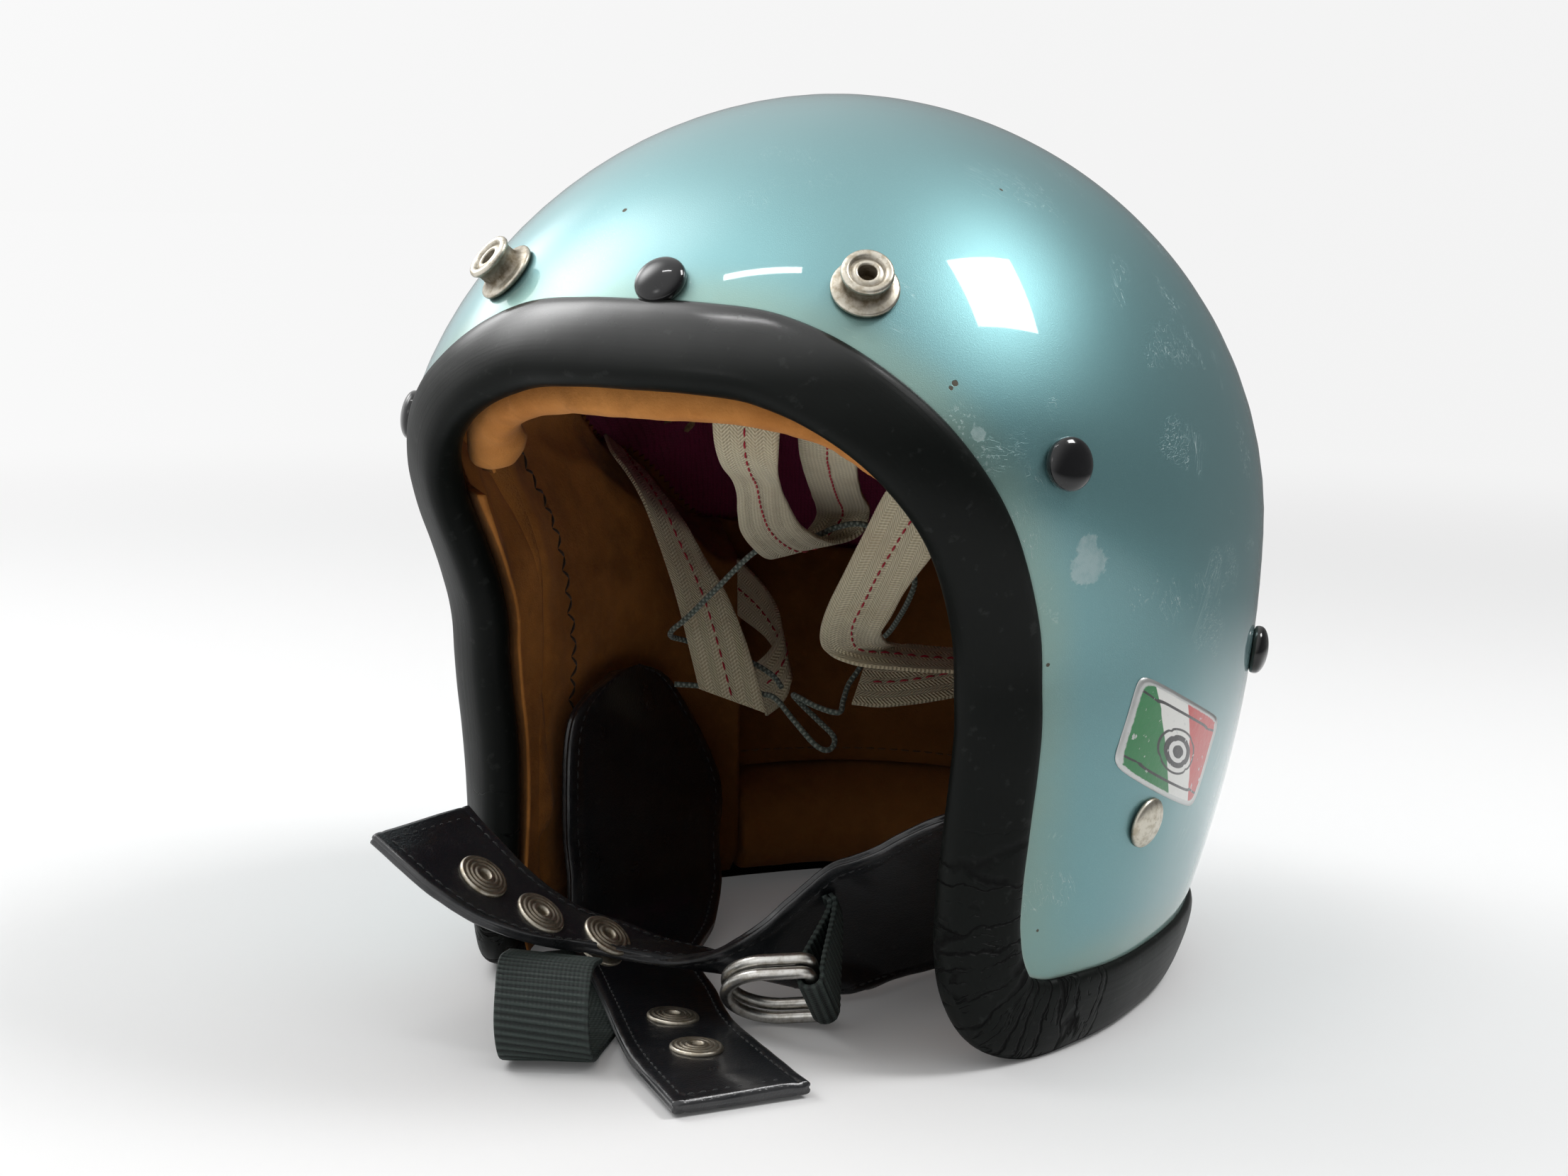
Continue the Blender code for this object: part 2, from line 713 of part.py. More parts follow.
def rim_stations():
    """Evenly spaced places round the rim: point, way up the shell, way out."""
    foot = TRIM_NOSE - FOOT_DEPTH
    guide = []
    for azimuth, share in RIM_SHARES:
        height = foot + share * SHELL_HEIGHT
        guide.append(round_point(azimuth, height, wall_radius(azimuth, height)))
    half = even_points(guide, RIM_STATIONS // 2 + 1)
    half = [shell_point((p - HUB).normalized()) for p in half]
    half[0].x = half[-1].x = 0.0
    mirrored = [Vector((-p.x, p.y, p.z)) for p in half[-2:0:-1]]
    ring = half + mirrored
    stations = []
    for i, point in enumerate(ring):
        along = (ring[(i + 1) % len(ring)] - ring[i - 1]).normalized()
        out = shell_normal(point)
        up = out.cross(along).normalized()
        if up.dot(POLE) < 0.0:
            up.negate()
        stations.append((point, up, out))
    return stations


def off_rim(station, up_shell, off_paint):
    """A point at a distance up the shell from the rim and off the paint."""
    point, up, _ = station
    base = shell_point((point + up * up_shell - HUB).normalized())
    return base + shell_normal(base) * off_paint


def dome_sheet(name, rings, cap, finish):
    """An open sheet through rings of points, closed over its cap point."""
    columns = len(rings[0])
    verts = [p for ring in rings for p in ring]
    faces = []
    for quad in grid_faces(len(rings), columns, wrap=True):
        faces += halves(verts, quad)
    verts.append(cap)
    top = (len(rings) - 1) * columns
    for c in range(columns):
        faces.append((top + c, top + (c + 1) % columns, len(verts) - 1))
    thing = new_object(name, verts, faces, finish)
    face_outward(thing)
    return thing


def crown_rings(stations, depth, first, every=1):
    """Rings up the crown at one depth, from a numbered one of the crown shares."""
    band = []
    for station in stations[::every]:
        band.append((off_rim(station, RIM_BAND, 0.0) - HUB).normalized())
    return [[skin(way.slerp(POLE, share), depth) for way in band] for share in CROWN_SHARES[first:]]


def make_outer_shell(stations):
    rings = []
    for part in range(3):
        rings.append([off_rim(s, TRIM_LEG * part / 3.0, 0.0) for s in stations])
    rings += crown_rings(stations, 0.0, 0)
    shell = dome_sheet("outer_shell", rings, skin(POLE, 0.0), "shell_paint")
    solidify(shell, SHELL_WALL, -1.0)
    return shell


def make_edge_trim(stations, dome):
    inside = -SHELL_WALL - SEAT_GAP
    outer_face = SEAT_GAP + TRIM_WALL
    inner_face = inside - TRIM_WALL
    middle = (outer_face + inner_face) / 2.0
    profile = (
        (TRIM_LEG, SEAT_GAP),
        (TRIM_LEG, SEAT_GAP + TRIM_LIP),
        (TRIM_LEG * 0.85, outer_face),
        (0.0, outer_face),
        (-TRIM_NOSE * 0.62, outer_face * 0.62),
        (-TRIM_NOSE * 0.94, outer_face * 0.05),
        (-TRIM_NOSE, middle),
        (-TRIM_NOSE * 0.9, inner_face * 0.75),
        (-TRIM_NOSE * 0.45, inner_face - TRIM_BEAD * 0.6),
        (TRIM_NOSE * 0.4, inner_face - TRIM_BEAD),
        (TRIM_NOSE, inner_face),
        (TRIM_INNER_LEG, inside - TRIM_LIP),
        (TRIM_INNER_LEG, inside),
        (TRIM_LEG / 3.0, inside),
        (-TRIM_SLOT_PLAY, inside),
        (-TRIM_SLOT_PLAY, SEAT_GAP),
        (TRIM_LEG / 3.0, SEAT_GAP),
        (TRIM_LEG * 2.0 / 3.0, SEAT_GAP),
    )
    sections = [[off_rim(s, up, out) for up, out in profile] for s in stations]
    trim = sweep("edge_trim", sections, "edge_rubber", closed=True)
    bpy.ops.mesh.primitive_cube_add(size=SHELL_HEIGHT * 2.0, location=(0.0, 0.0, -SHELL_HEIGHT))
    floor = bpy.context.object
    floor.name = "foot_cutter"
    cut(trim, as_cutter(floor))
    origin, axis = dome
    cut(trim, drill("dome_relief", origin, axis, DOME_RADIUS + RUNNING_GAP, OVERRUN))
    return trim


# Linings


def share_line(table, azimuth):
    """The height on a line of shares at an azimuth, the same on both sides."""
    at = abs(azimuth)
    for (a, low), (b, high) in zip(table, table[1:]):
        if at <= b:
            t = max((at - a) / (b - a), 0.0)
            t = t * t * (3.0 - 2.0 * t)
            return (low + (high - low) * t) * SHELL_HEIGHT
    return table[-1][1] * SHELL_HEIGHT


def rim_azimuth(height):
    """Degrees round from the front to the rim's cheek edge at a height."""
    foot = TRIM_NOSE - FOOT_DEPTH
    cheek = [entry for entry in RIM_SHARES if 30.0 < entry[0] < 60.0]
    share = (height - foot) / SHELL_HEIGHT
    for (a, high), (b, low) in zip(cheek, cheek[1:]):
        if share >= low:
            t = (share - low) / (high - low)
            return b + (a - b) * min(t, 1.0)
    return cheek[-1][0]


def cavity_radius(azimuth):
    """How far the inside of the side and neck padding is from the middle."""
    turn = math.radians(azimuth)
    reach = CAVITY_FRONT_REACH if math.cos(turn) > 0.0 else CAVITY_BACK_REACH
    spread = (math.sin(turn) / CAVITY_HALF_WIDTH) ** 2 + (math.cos(turn) / reach) ** 2
    return 1.0 / math.sqrt(spread)


def make_impact_liner(stations, pockets):
    rings = crown_rings(stations, LINER_BACK, 1, 2)
    liner = dome_sheet("impact_liner", rings, skin(POLE, LINER_BACK), "liner_cork")
    solidify(liner, LINER_DEPTH - LINER_BACK, -1.0)
    for origin, axis, radius, length in pockets:
        cut(liner, drill("liner_pocket", origin, axis, radius, length))
    return liner


def make_crown_liner(stations):
    rings = crown_rings(stations, CLOTH_DEPTH, 2, 2)
    liner = dome_sheet("crown_liner", rings, skin(POLE, CLOTH_DEPTH), "crown_cloth")
    solidify(liner, CROWN_CLOTH, -1.0)
    return liner


def inward(azimuth, height, depth):
    """How far from the vertical axis a wall lies at a depth under the paint."""
    radius = wall_radius(azimuth, height)
    point = round_point(azimuth, height, radius)
    outward = round_point(azimuth, 0.0, 1.0)
    return radius - depth / shell_normal(point).dot(outward)


def make_side_lining(name, side, rivet_cutters):
    """A suede side panel with a padded roll along its front edge."""
    rows = (0.0, 0.04, 0.10, 0.20, 0.34, 0.50, 0.66, 0.80, 0.93, 1.0)
    reaches = (0.0, 0.10, 0.30, 0.62, 1.0)
    fields = 6
    outer, inner = [], []
    for row in rows:
        outer_row, inner_row = [], []
        height = LINING_FOOT + (share_line(PINKED_EDGE_SHARES, 42.0) - LINING_FOOT) * row
        start = rim_azimuth(height)
        front_radius = wall_radius(start, height)
        places = [(start + math.degrees((ROLL_FRONT + ROLL_WIDTH * r) / front_radius), r) for r in reaches]
        last = places[-1][0]
        for k in range(1, fields + 1):
            places.append((last + (SIDE_PANEL_END - last) * k / fields, 1.0 + k))
        for azimuth, reach in places:
            z = LINING_FOOT + (share_line(PINKED_EDGE_SHARES, azimuth) - LINING_FOOT) * row
            sunk = 0.0 if reach < 0.9 else ramp(z, RIM_BAND * 1.4, RIM_BAND * 2.3)
            back = inward(azimuth, z, ROLL_DEPTH + (SUEDE_DEPTH - ROLL_DEPTH) * sunk)
            limit = back - SUEDE_WALL
            climb = max(z - EQUATOR_HEIGHT * 0.72, 0.0) / (SHELL_HEIGHT * 0.35)
            form = cavity_radius(azimuth)
            form += (limit - form) * min(climb * climb * 2.2, 1.0)
            face = min(form, limit)
            if reach < 1.0:
                face = back - (back - face) * math.sin(math.pi / 2.0 * (0.12 + 0.88 * reach))
            ease = math.sin(math.pi / 2.0 * min(row / 0.10, 1.0))
            face = back - (back - face) * (0.35 + 0.65 * ease)
            rim = back - SUEDE_WALL * 0.5
            tip = min((1.0 - row) / 0.10, 1.0)
            face = rim - (rim - face) * tip
            outer_row.append(round_point(azimuth * side, z, back))
            inner_row.append(round_point(azimuth * side, z, face))
        outer.append(outer_row)
        inner.append(inner_row)
    panel = slab(name, outer, inner, "suede")
    for cutter in rivet_cutters:
        cut(panel, cutter)
    return panel


def make_rear_lining():
    rows = (0.0, 0.1, 0.35, 0.65, 0.9, 1.0)
    columns = 14
    outer, inner = [], []
    span = 180.0 - SIDE_PANEL_END
    gap = math.degrees(PANEL_GAP / CAVITY_HALF_WIDTH)
    for row in rows:
        outer_row, inner_row = [], []
        for k in range(columns + 1):
            azimuth = 180.0 + (span - gap) * (2.0 * k / columns - 1.0)
            signed = azimuth if azimuth <= 180.0 else azimuth - 360.0
            foot = NECK_ROLL_TOP + PANEL_GAP
            z = foot + (share_line(PINKED_EDGE_SHARES, signed) - foot) * row
            edge = min(row, 1.0 - row) / 0.1
            swell = 0.5 + 0.5 * min(edge, 1.0)
            back = inward(azimuth, z, SUEDE_DEPTH)
            outer_row.append(round_point(azimuth, z, back))
            inner_row.append(round_point(azimuth, z, back - REAR_SUEDE_WALL * swell))
        outer.append(outer_row)
        inner.append(inner_row)
    return slab("rear_lining", outer, inner, "suede")


def make_neck_roll():
    """The padded roll along the nape, drawn in at its foot and top seam."""
    rows = (0.0, 0.12, 0.3, 0.5, 0.7, 0.88, 1.0)
    columns = 16
    outer, inner = [], []
    span = 180.0 - SIDE_PANEL_END
    gap = math.degrees(PANEL_GAP / CAVITY_HALF_WIDTH)
    for row in rows:
        outer_row, inner_row = [], []
        for k in range(columns + 1):
            across = 2.0 * k / columns - 1.0
            azimuth = 180.0 + (span - gap) * across
            z = LINING_FOOT + (NECK_ROLL_TOP - LINING_FOOT) * row
            swell = 0.30 + 0.70 * math.sin(math.pi * (0.04 + 0.92 * row)) ** 0.7
            back = inward(azimuth, z, ROLL_DEPTH)
            outer_row.append(round_point(azimuth, z, back))
            inner_row.append(round_point(azimuth, z, back - NECK_ROLL_THICKNESS * swell))
        outer.append(outer_row)
        inner.append(inner_row)
    return slab("neck_roll", outer, inner, "suede")


def make_brow_pad(stations):
    """The padded roll behind the brow, tapering to its ends on the temples."""
    low = SHELL_HEIGHT * 0.592
    chosen = [i for i in range(-RIM_STATIONS // 2, RIM_STATIONS // 2) if stations[i][0].z > low]
    sections = []
    for i in chosen:
        reach = abs(i) / (len(chosen) / 2.0)
        taper = math.sqrt(max(1.0 - reach**6, 0.0))
        size = 0.5 + 0.5 * taper
        section = []
        steps = 12
        for k in range(steps):
            turn = 2.0 * math.pi * k / steps
            up = (BROW_RISE - BROW_DROP) / 2.0 + math.cos(turn) * (BROW_RISE + BROW_DROP) / 2.0 * size
            thick = BROW_DEPTH * size
            lift = math.sin(turn)
            lift = math.copysign(abs(lift) ** 0.8, lift)
            out = -EDGE_DEPTH - BROW_SLACK - thick / 2.0 + lift * thick / 2.0
            section.append(off_rim(stations[i], up, out))
        sections.append(section)
    return sweep("brow_pad", sections, "suede", closed=False)


# Rivets and studs


def make_dome_rivet(name, origin, axis):
    """A lacquered dome cap with its shank through the shell and a clinched end."""
    under = -SHELL_WALL - SEAT_GAP * 4.0
    profile = arc(DOME_RADIUS, DOME_HEIGHT - DOME_RIM, 3, start=SEAT_GAP + DOME_RIM)
    profile += [
        (DOME_RADIUS, SEAT_GAP),
        (SHANK_RADIUS, SEAT_GAP),
        (SHANK_RADIUS, under),
        (CLINCH_RADIUS, under),
        (CLINCH_RADIUS, under - CLINCH_HEIGHT),
        (0.0, under - CLINCH_HEIGHT),
    ]
    return turned(name, profile, frame_at(origin, axis), "black_enamel", steps=12)


def make_visor_stud(name, origin, axis):
    """A press stud for a peak or visor: a flange, a waisted post and a bored ring."""
    under = -SHELL_WALL - SEAT_GAP * 4.0
    base = SEAT_GAP
    top = base + STUD_HEIGHT
    profile = [
        (0.0, top - STUD_BORE_DEPTH),
        (STUD_BORE_RADIUS, top - STUD_BORE_DEPTH),
        (STUD_BORE_RADIUS, top - STUD_RING_SINK / 2.0),
        (STUD_RING_RADIUS, top - STUD_RING_SINK / 2.0),
        (STUD_RING_RADIUS, top),
        (STUD_POST_RADIUS, top),
        (STUD_POST_RADIUS, top - STUD_RING_SINK),
        (STUD_WAIST_RADIUS, top - STUD_RING_SINK * 2.0),
        (STUD_WAIST_RADIUS, base + STUD_FLANGE_HEIGHT),
        (STUD_FLANGE_RADIUS, base + STUD_FLANGE_HEIGHT / 2.0),
        (STUD_FLANGE_RADIUS, base),
        (SHANK_RADIUS, base),
        (SHANK_RADIUS, under),
        (CLINCH_RADIUS, under),
        (CLINCH_RADIUS, under - CLINCH_HEIGHT),
        (0.0, under - CLINCH_HEIGHT),
    ]
    return turned(name, profile, frame_at(origin, axis), "nickel")


def make_strap_rivet(name, origin, axis, length):
    """A low nickel head and its shank, peened over between the strap's layers."""
    profile = arc(RIVET_RADIUS, RIVET_HEIGHT, 4, start=SEAT_GAP)
    profile += [
        (SHANK_RADIUS, SEAT_GAP),
        (SHANK_RADIUS, -length),
        (0.0, -length),
    ]
    return turned(name, profile, frame_at(origin, axis), "nickel")


# Straps


class Ribbon:
    """A band between two rails, with places and normals on it by shares."""

    def __init__(self, near_rail, far_rail, count, across):
        near = even_points(near_rail, count)
        far = even_points(far_rail, count)
        self.rows = [[a.lerp(b, c / across) for c in range(across + 1)] for a, b in zip(near, far)]

    def at(self, along, across):
        rows, columns = len(self.rows) - 1, len(self.rows[0]) - 1
        r = min(int(along * rows), rows - 1)
        c = min(int(across * columns), columns - 1)
        u, v = along * rows - r, across * columns - c
        low = self.rows[r][c].lerp(self.rows[r][c + 1], v)
        high = self.rows[r + 1][c].lerp(self.rows[r + 1][c + 1], v)
        way = self.rows[r + 1][c] - self.rows[r][c] + self.rows[r + 1][c + 1] - self.rows[r][c + 1]
        side = self.rows[r][c + 1] - self.rows[r][c]
        return low.lerp(high, u), way.cross(side).normalized(), way.normalized()

    def build(self, name, thickness, finish):
        rows, columns = len(self.rows), len(self.rows[0])
        verts = [p for row in self.rows for p in row]
        thing = new_object(name, verts, grid_faces(rows, columns), finish)
        solidify(thing, thickness, 0.0)
        return thing


def make_snap_cap(name, strap, ribbon, along, across):
    """A cap let into the strap, its shank through it and a plain ring behind."""
    point, normal, way = ribbon.at(along, across)
    face = STRAP_THICKNESS / 2.0 - CAP_SEAT
    top = face + CAP_HEIGHT
    place_at = frame_at(point, normal, way)
    profile = [
        (0.0, top - CAP_GROOVE * 2.0),
        (CAP_HOLE_RADIUS, top - CAP_GROOVE * 2.0),
        (CAP_HOLE_RADIUS, top),
        (CAP_RADIUS * 0.50, top),
        (CAP_RADIUS * 0.60, top - CAP_GROOVE),
        (CAP_RADIUS * 0.70, top - CAP_GROOVE * 0.2),
        (CAP_RADIUS, top - CAP_HEIGHT * 0.6),
        (CAP_RADIUS, face),
        (CAP_SHANK_RADIUS, face),
        (CAP_SHANK_RADIUS, -face),
        (CAP_BACK_RADIUS, -face),
        (CAP_BACK_RADIUS, -face - CAP_BACK_HEIGHT),
        (0.0, -face - CAP_BACK_HEIGHT),
    ]
    cap = turned(name, profile, place_at, "nickel", steps=CAP_STEPS)
    seat = face - RUNNING_GAP
    recess = [
        (0.0, OVERRUN),
        (CAP_RADIUS + RUNNING_GAP, OVERRUN),
        (CAP_RADIUS + RUNNING_GAP, seat),
        (CAP_SHANK_RADIUS + RUNNING_GAP, seat),
        (CAP_SHANK_RADIUS + RUNNING_GAP, -seat),
        (CAP_BACK_RADIUS + RUNNING_GAP, -seat),
        (CAP_BACK_RADIUS + RUNNING_GAP, -OVERRUN),
        (0.0, -OVERRUN),
    ]
    cut(strap, as_cutter(turned(name + "_recess", recess, place_at, "nickel", steps=CAP_STEPS)))
    return cap


def tube(name, points, radius, sides, finish, closed=False):
    """A round bar along points, with square ends unless it is closed."""
    count = len(points)
    ways = []
    for i in range(count):
        before = points[i - 1] if closed or i > 0 else points[0]
        after = points[(i + 1) % count] if closed or i < count - 1 else points[-1]
        ways.append((after - before).normalized())
    across = ways[0].orthogonal().normalized()
    sections = []
    for point, way in zip(points, ways):
        across = (across - way * across.dot(way)).normalized()
        up = way.cross(across)
        section = []
        for k in range(sides):
            turn = 2.0 * math.pi * k / sides
            section.append(point + (across * math.cos(turn) + up * math.sin(turn)) * radius)
        sections.append(section)
    return sweep(name, sections, finish, closed)


def make_d_ring(name, bar_middle, bar_way, reach_way):
    """A D of round wire: a straight bar, two short sides and a half turn."""
    half = RING_BAR / 2.0
    side = RING_REACH - half
    corner = RING_WIRE_RADIUS
    outline = [(-half + corner, 0.0), (0.0, 0.0), (half - corner, 0.0), (half, corner)]
    steps = 12
    for i in range(steps + 1):
        turn = math.pi * i / steps
        outline.append((half * math.cos(turn), side + half * math.sin(turn)))
    outline.append((-half, corner))
    points = [bar_middle + bar_way * u + reach_way * v for u, v in outline]
    return tube(name, points, RING_WIRE_RADIUS, 8, "steel", closed=True)


def make_ring_loop(bar, bar_way, reach_way, stack_way, root, strap):
    """The webbing that holds both bars, drawn together where it is sewn on."""
    mesh = strap.data
    facets = BVHTree.FromPolygons([v.co for v in mesh.vertices], [tuple(f.vertices) for f in mesh.polygons])
    seat, face_way, _, _ = facets.find_nearest(root)
    if face_way.dot(root - seat) < 0.0:
        face_way.negate()
    apart = (reach_way - face_way * reach_way.dot(face_way)).normalized()
    across = face_way.cross(apart)
    if across.dot(bar_way) < 0.0:
        across.negate()
    wrap = RING_WIRE_RADIUS + RUNNING_GAP * 2.0 + WEB_THICKNESS / 2.0
    tall = RING_PITCH / 2.0 + wrap
    low = RING_PITCH / 2.0
    outline = [
        (wrap, low),
        (wrap, -low),
        (wrap * 0.6, -low - wrap * 0.72),
        (0.0, -tall),
        (-wrap * 0.6, -low - wrap * 0.72),
        (-wrap, -low),
        (-wrap, low),
    ]
    foot = seat + face_way * (STRAP_THICKNESS / 2.0 + SEAT_GAP * 4.0)
    neck = foot + face_way * (WEB_THICKNESS * 2.0)
    layer = apart * (WEB_THICKNESS / 2.0 + RUNNING_GAP)
    near, far = [], []
    for side, rail in ((1.0, near), (-1.0, far)):
        shift = across * (LOOP_ROOT_WIDTH / 2.0 * side)
        rail += [foot + layer + shift, neck + layer + shift]
        rail += [bar + reach_way * v + stack_way * n + bar_way * (LOOP_WIDTH / 2.0 * side) for v, n in outline]
        rail += [neck - layer + shift, foot - layer + shift]
    return Ribbon(near, far, 38, 1).build("ring_loop", WEB_THICKNESS, "webbing")


def seats(shell, places):
    """Where each fastener sits on the shell's facets, and the way it points."""
    mesh = shell.data
    facets = BVHTree.FromPolygons([v.co for v in mesh.vertices], [tuple(f.vertices) for f in mesh.polygons])
    found = {}
    for name, shares in places.items():
        point = paint_point(shares)
        normal = shell_normal(point)
        hit = facets.ray_cast(point + normal * OVERRUN, -normal)
        found[name] = (hit[0], hit[1] if hit[1].dot(normal) > 0.0 else -hit[1])
    return found


def build():
    stations = rim_stations()
    shell = make_outer_shell(stations)
    azimuth, height = VISOR_STUD_SHARES
    studs = seats(shell, {"visor_stud_left": (azimuth, height), "visor_stud_right": (-azimuth, height)})
    azimuth, height = STRAP_RIVET_SHARES
    rivets = seats(shell, {"strap_rivet_left": (azimuth, height), "strap_rivet_right": (-azimuth, height)})
    domes = seats(shell, DOME_SHARES)
    for name, (origin, axis) in {**domes, **studs, **rivets}.items():
        cut(shell, drill(name + "_hole", origin, axis, SHANK_RADIUS + RUNNING_GAP, OVERRUN))
        if name in FACED_SEATS:
            above = origin + axis * (OVERRUN + SEAT_GAP / 2.0)
            cut(shell, drill(name + "_seat", above, axis, FACING_RADIUS, OVERRUN))
            if name in domes:
                below = origin - axis * (OVERRUN + SHELL_WALL + SEAT_GAP * 3.0)
                cut(shell, drill(name + "_facing", below, axis, CLINCH_RADIUS + RUNNING_GAP, OVERRUN))
    make_edge_trim(stations, domes["dome_rivet_front"])

    clinch = SHELL_WALL + CLINCH_HEIGHT + SEAT_GAP * 6.0
    heads = list(domes.values()) + list(studs.values())
    pockets = [(p, n, CLINCH_RADIUS + SEAT_GAP * 2.0, clinch) for p, n in heads]
    pockets += [(p, n, SHANK_RADIUS + SEAT_GAP, LINER_DEPTH * 2.0) for p, n in rivets.values()]
    make_impact_liner(stations, pockets)
    make_crown_liner(stations)

    for name, (point, normal) in domes.items():
        make_dome_rivet(name, point, normal)
    for name, (point, normal) in studs.items():
        make_visor_stud(name, point, normal)

    left_front = [place(s) for s in EAR_FLAP_FRONT_SHARES + LEFT_FRONT_SHARES]
    left_back = [place(s) for s in EAR_FLAP_BACK_SHARES + LEFT_BACK_SHARES]
    right_front = [place(flipped(s)) for s in EAR_FLAP_FRONT_SHARES]
    right_front += [place(s) for s in RIGHT_FRONT_SHARES]
    right_back = [place(flipped(s)) for s in EAR_FLAP_BACK_SHARES]
    right_back += [place(s) for s in RIGHT_BACK_SHARES]
    left = Ribbon(left_front, left_back, 33, 3)
    right = Ribbon(right_front, right_back, 26, 3)
    left_strap = left.build("chin_strap_left", STRAP_THICKNESS, "black_leather")
    right_strap = right.build("chin_strap_right", STRAP_THICKNESS, "black_leather")

    carried, pivots = {}, {}
    for name, side, strap in (
        ("strap_rivet_left", 1.0, left_strap),
        ("strap_rivet_right", -1.0, right_strap),
    ):
        point, normal = rivets[name]
        inner = HALF_WIDTH * EAR_FLAP_FRONT_SHARES[2][0] * side
        seat = intersect_line_plane(point, point - normal, Vector((inner, 0.0, 0.0)), Vector((1.0, 0.0, 0.0)))
        make_strap_rivet(name, point, normal, (seat - point).length)
        carried[strap.name] = [strap]
        pivots[strap.name] = (seat, normal)
        way = drill(name + "_way", seat, normal, SHANK_RADIUS + SEAT_GAP * 1.5, LINER_DEPTH * 2.0)
        make_side_lining("side_lining_left" if side > 0.0 else "side_lining_right", side, [way])
        eye = [(0.0, OVERRUN), (SHANK_RADIUS + PIVOT_PLAY, OVERRUN)]
        eye += [(SHANK_RADIUS + PIVOT_PLAY, -STRAP_THICKNESS / 8.0), (0.0, -STRAP_THICKNESS / 8.0)]
        cut(strap, as_cutter(turned(name + "_eye", eye, frame_at(seat, normal), "nickel", steps=TURN_STEPS)))

    make_rear_lining()
    make_neck_roll()
    make_brow_pad(stations)

    for strap, ribbon, name, places in (
        (left_strap, left, "snap_cap_", LEFT_CAP_SHARES),
        (right_strap, right, "snap_stud_", RIGHT_CAP_SHARES),
    ):
        for index, along in enumerate(places):
            cap = make_snap_cap(name + str(index + 1), strap, ribbon, along, 0.5)
            carried[strap.name].append(cap)

    tail = Ribbon([place(s) for s in TAIL_NEAR_SHARES], [place(s) for s in TAIL_FAR_SHARES], 24, 2)
    carried["chin_strap_right"].append(tail.build("webbing_tail", WEB_THICKNESS, "webbing"))

    for name, (near, far) in CRADLE_SHARES.items():
        rows = 5 * len(near) // 2
        Ribbon([place(s) for s in near], [place(s) for s in far], rows, 2).build(name, TAPE_THICKNESS, "tape")

    lace = even_points([place(s) for s in LACE_SHARES], 70)
    tube("lacing_cord", lace, LACE_RADIUS, 5, "lace")

    bar = place(RING_BAR_SHARES)
    bar_way = Vector(RING_BAR_WAY).normalized()
    reach_way = Vector(RING_REACH_WAY)
    reach_way = (reach_way - bar_way * reach_way.dot(bar_way)).normalized()
    stack_way = bar_way.cross(reach_way)
    if stack_way.z < 0.0:
        stack_way.negate()
    loop = make_ring_loop(bar, bar_way, reach_way, stack_way, place(LOOP_ROOT_SHARES), left_strap)
    carried["chin_strap_left"].append(loop)
    for name, side in (("d_ring_upper", 1.0), ("d_ring_lower", -1.0)):
        middle = bar + stack_way * (RING_PITCH / 2.0 * side)
        ring = make_d_ring(name, middle, bar_way, reach_way)
        carried["chin_strap_left"].append(pivot(name + "_pivot", middle, bar_way, [ring]))
    for name, (origin, axis) in pivots.items():
        pivot(name + "_pivot", origin, axis, carried[name])


build()
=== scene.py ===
"""The open-face helmet's finish: paint, rubber, suede, leather, cotton tape, webbing and metal."""

import math

import bmesh
import bpy
from mathutils import Matrix, Vector, noise
from mathutils.bvhtree import BVHTree


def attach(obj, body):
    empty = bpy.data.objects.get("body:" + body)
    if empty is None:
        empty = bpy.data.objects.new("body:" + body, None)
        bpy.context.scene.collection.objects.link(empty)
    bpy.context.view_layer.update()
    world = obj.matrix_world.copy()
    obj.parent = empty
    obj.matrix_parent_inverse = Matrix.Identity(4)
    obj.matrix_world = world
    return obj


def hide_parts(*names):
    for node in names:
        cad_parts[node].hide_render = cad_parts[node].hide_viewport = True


MM = 0.001
MERGE_GAP = 0.01 * MM

# Shell, in metres. The front looks along -Y and the wearer's left is +X.
HALF_WIDTH = 120.0 * MM
FRONT_REACH = 131.6 * MM
BACK_REACH = 139.1 * MM
EQUATOR_HEIGHT = 136.0 * MM
SHELL_HEIGHT = 260.5 * MM
SHELL_WALL = 4.0 * MM
SIDE_TUCK = 0.22
FRONT_TUCK = 0.11
BACK_TUCK = 0.16
# The cheeks tuck in more: where that starts, is full, and ends in a flare, as shares of the height.
CHEEK_TUCK = 0.34
CHEEK_SHARES = (0.70, 0.40, 0.307, -0.23)
# How square the plan and the crown are, where 2 is an ellipse.
PLAN_POWER = 2.27
CROWN_POWER = 1.95
HUB = Vector((0.0, 0.0, EQUATOR_HEIGHT))
POLE = Vector((0.0, math.sin(math.radians(40.0)), math.cos(math.radians(40.0))))

# Rubber edge
RIM_FOOT = 3.3 * MM
RIM_BAND = 21.0 * MM
TRIM_LEG = 20.0 * MM
RIM_STATIONS = 540
# The rim's height at degrees round from the front, as shares of the shell's height.
RIM_SHARES = (
    (0.0, 0.711), (9.0, 0.710), (17.6, 0.702), (26.4, 0.670), (34.1, 0.618), (40.8, 0.545),
    (46.3, 0.449), (47.9, 0.370), (47.9, 0.306), (47.2, 0.236), (46.4, 0.175), (46.2, 0.120),
    (47.7, 0.068), (52.2, 0.023), (60.6, 0.0), (72.9, 0.0), (90.0, 0.0), (110.0, 0.0),
    (130.0, 0.0), (150.0, 0.0), (165.0, 0.0), (180.0, 0.0),
)
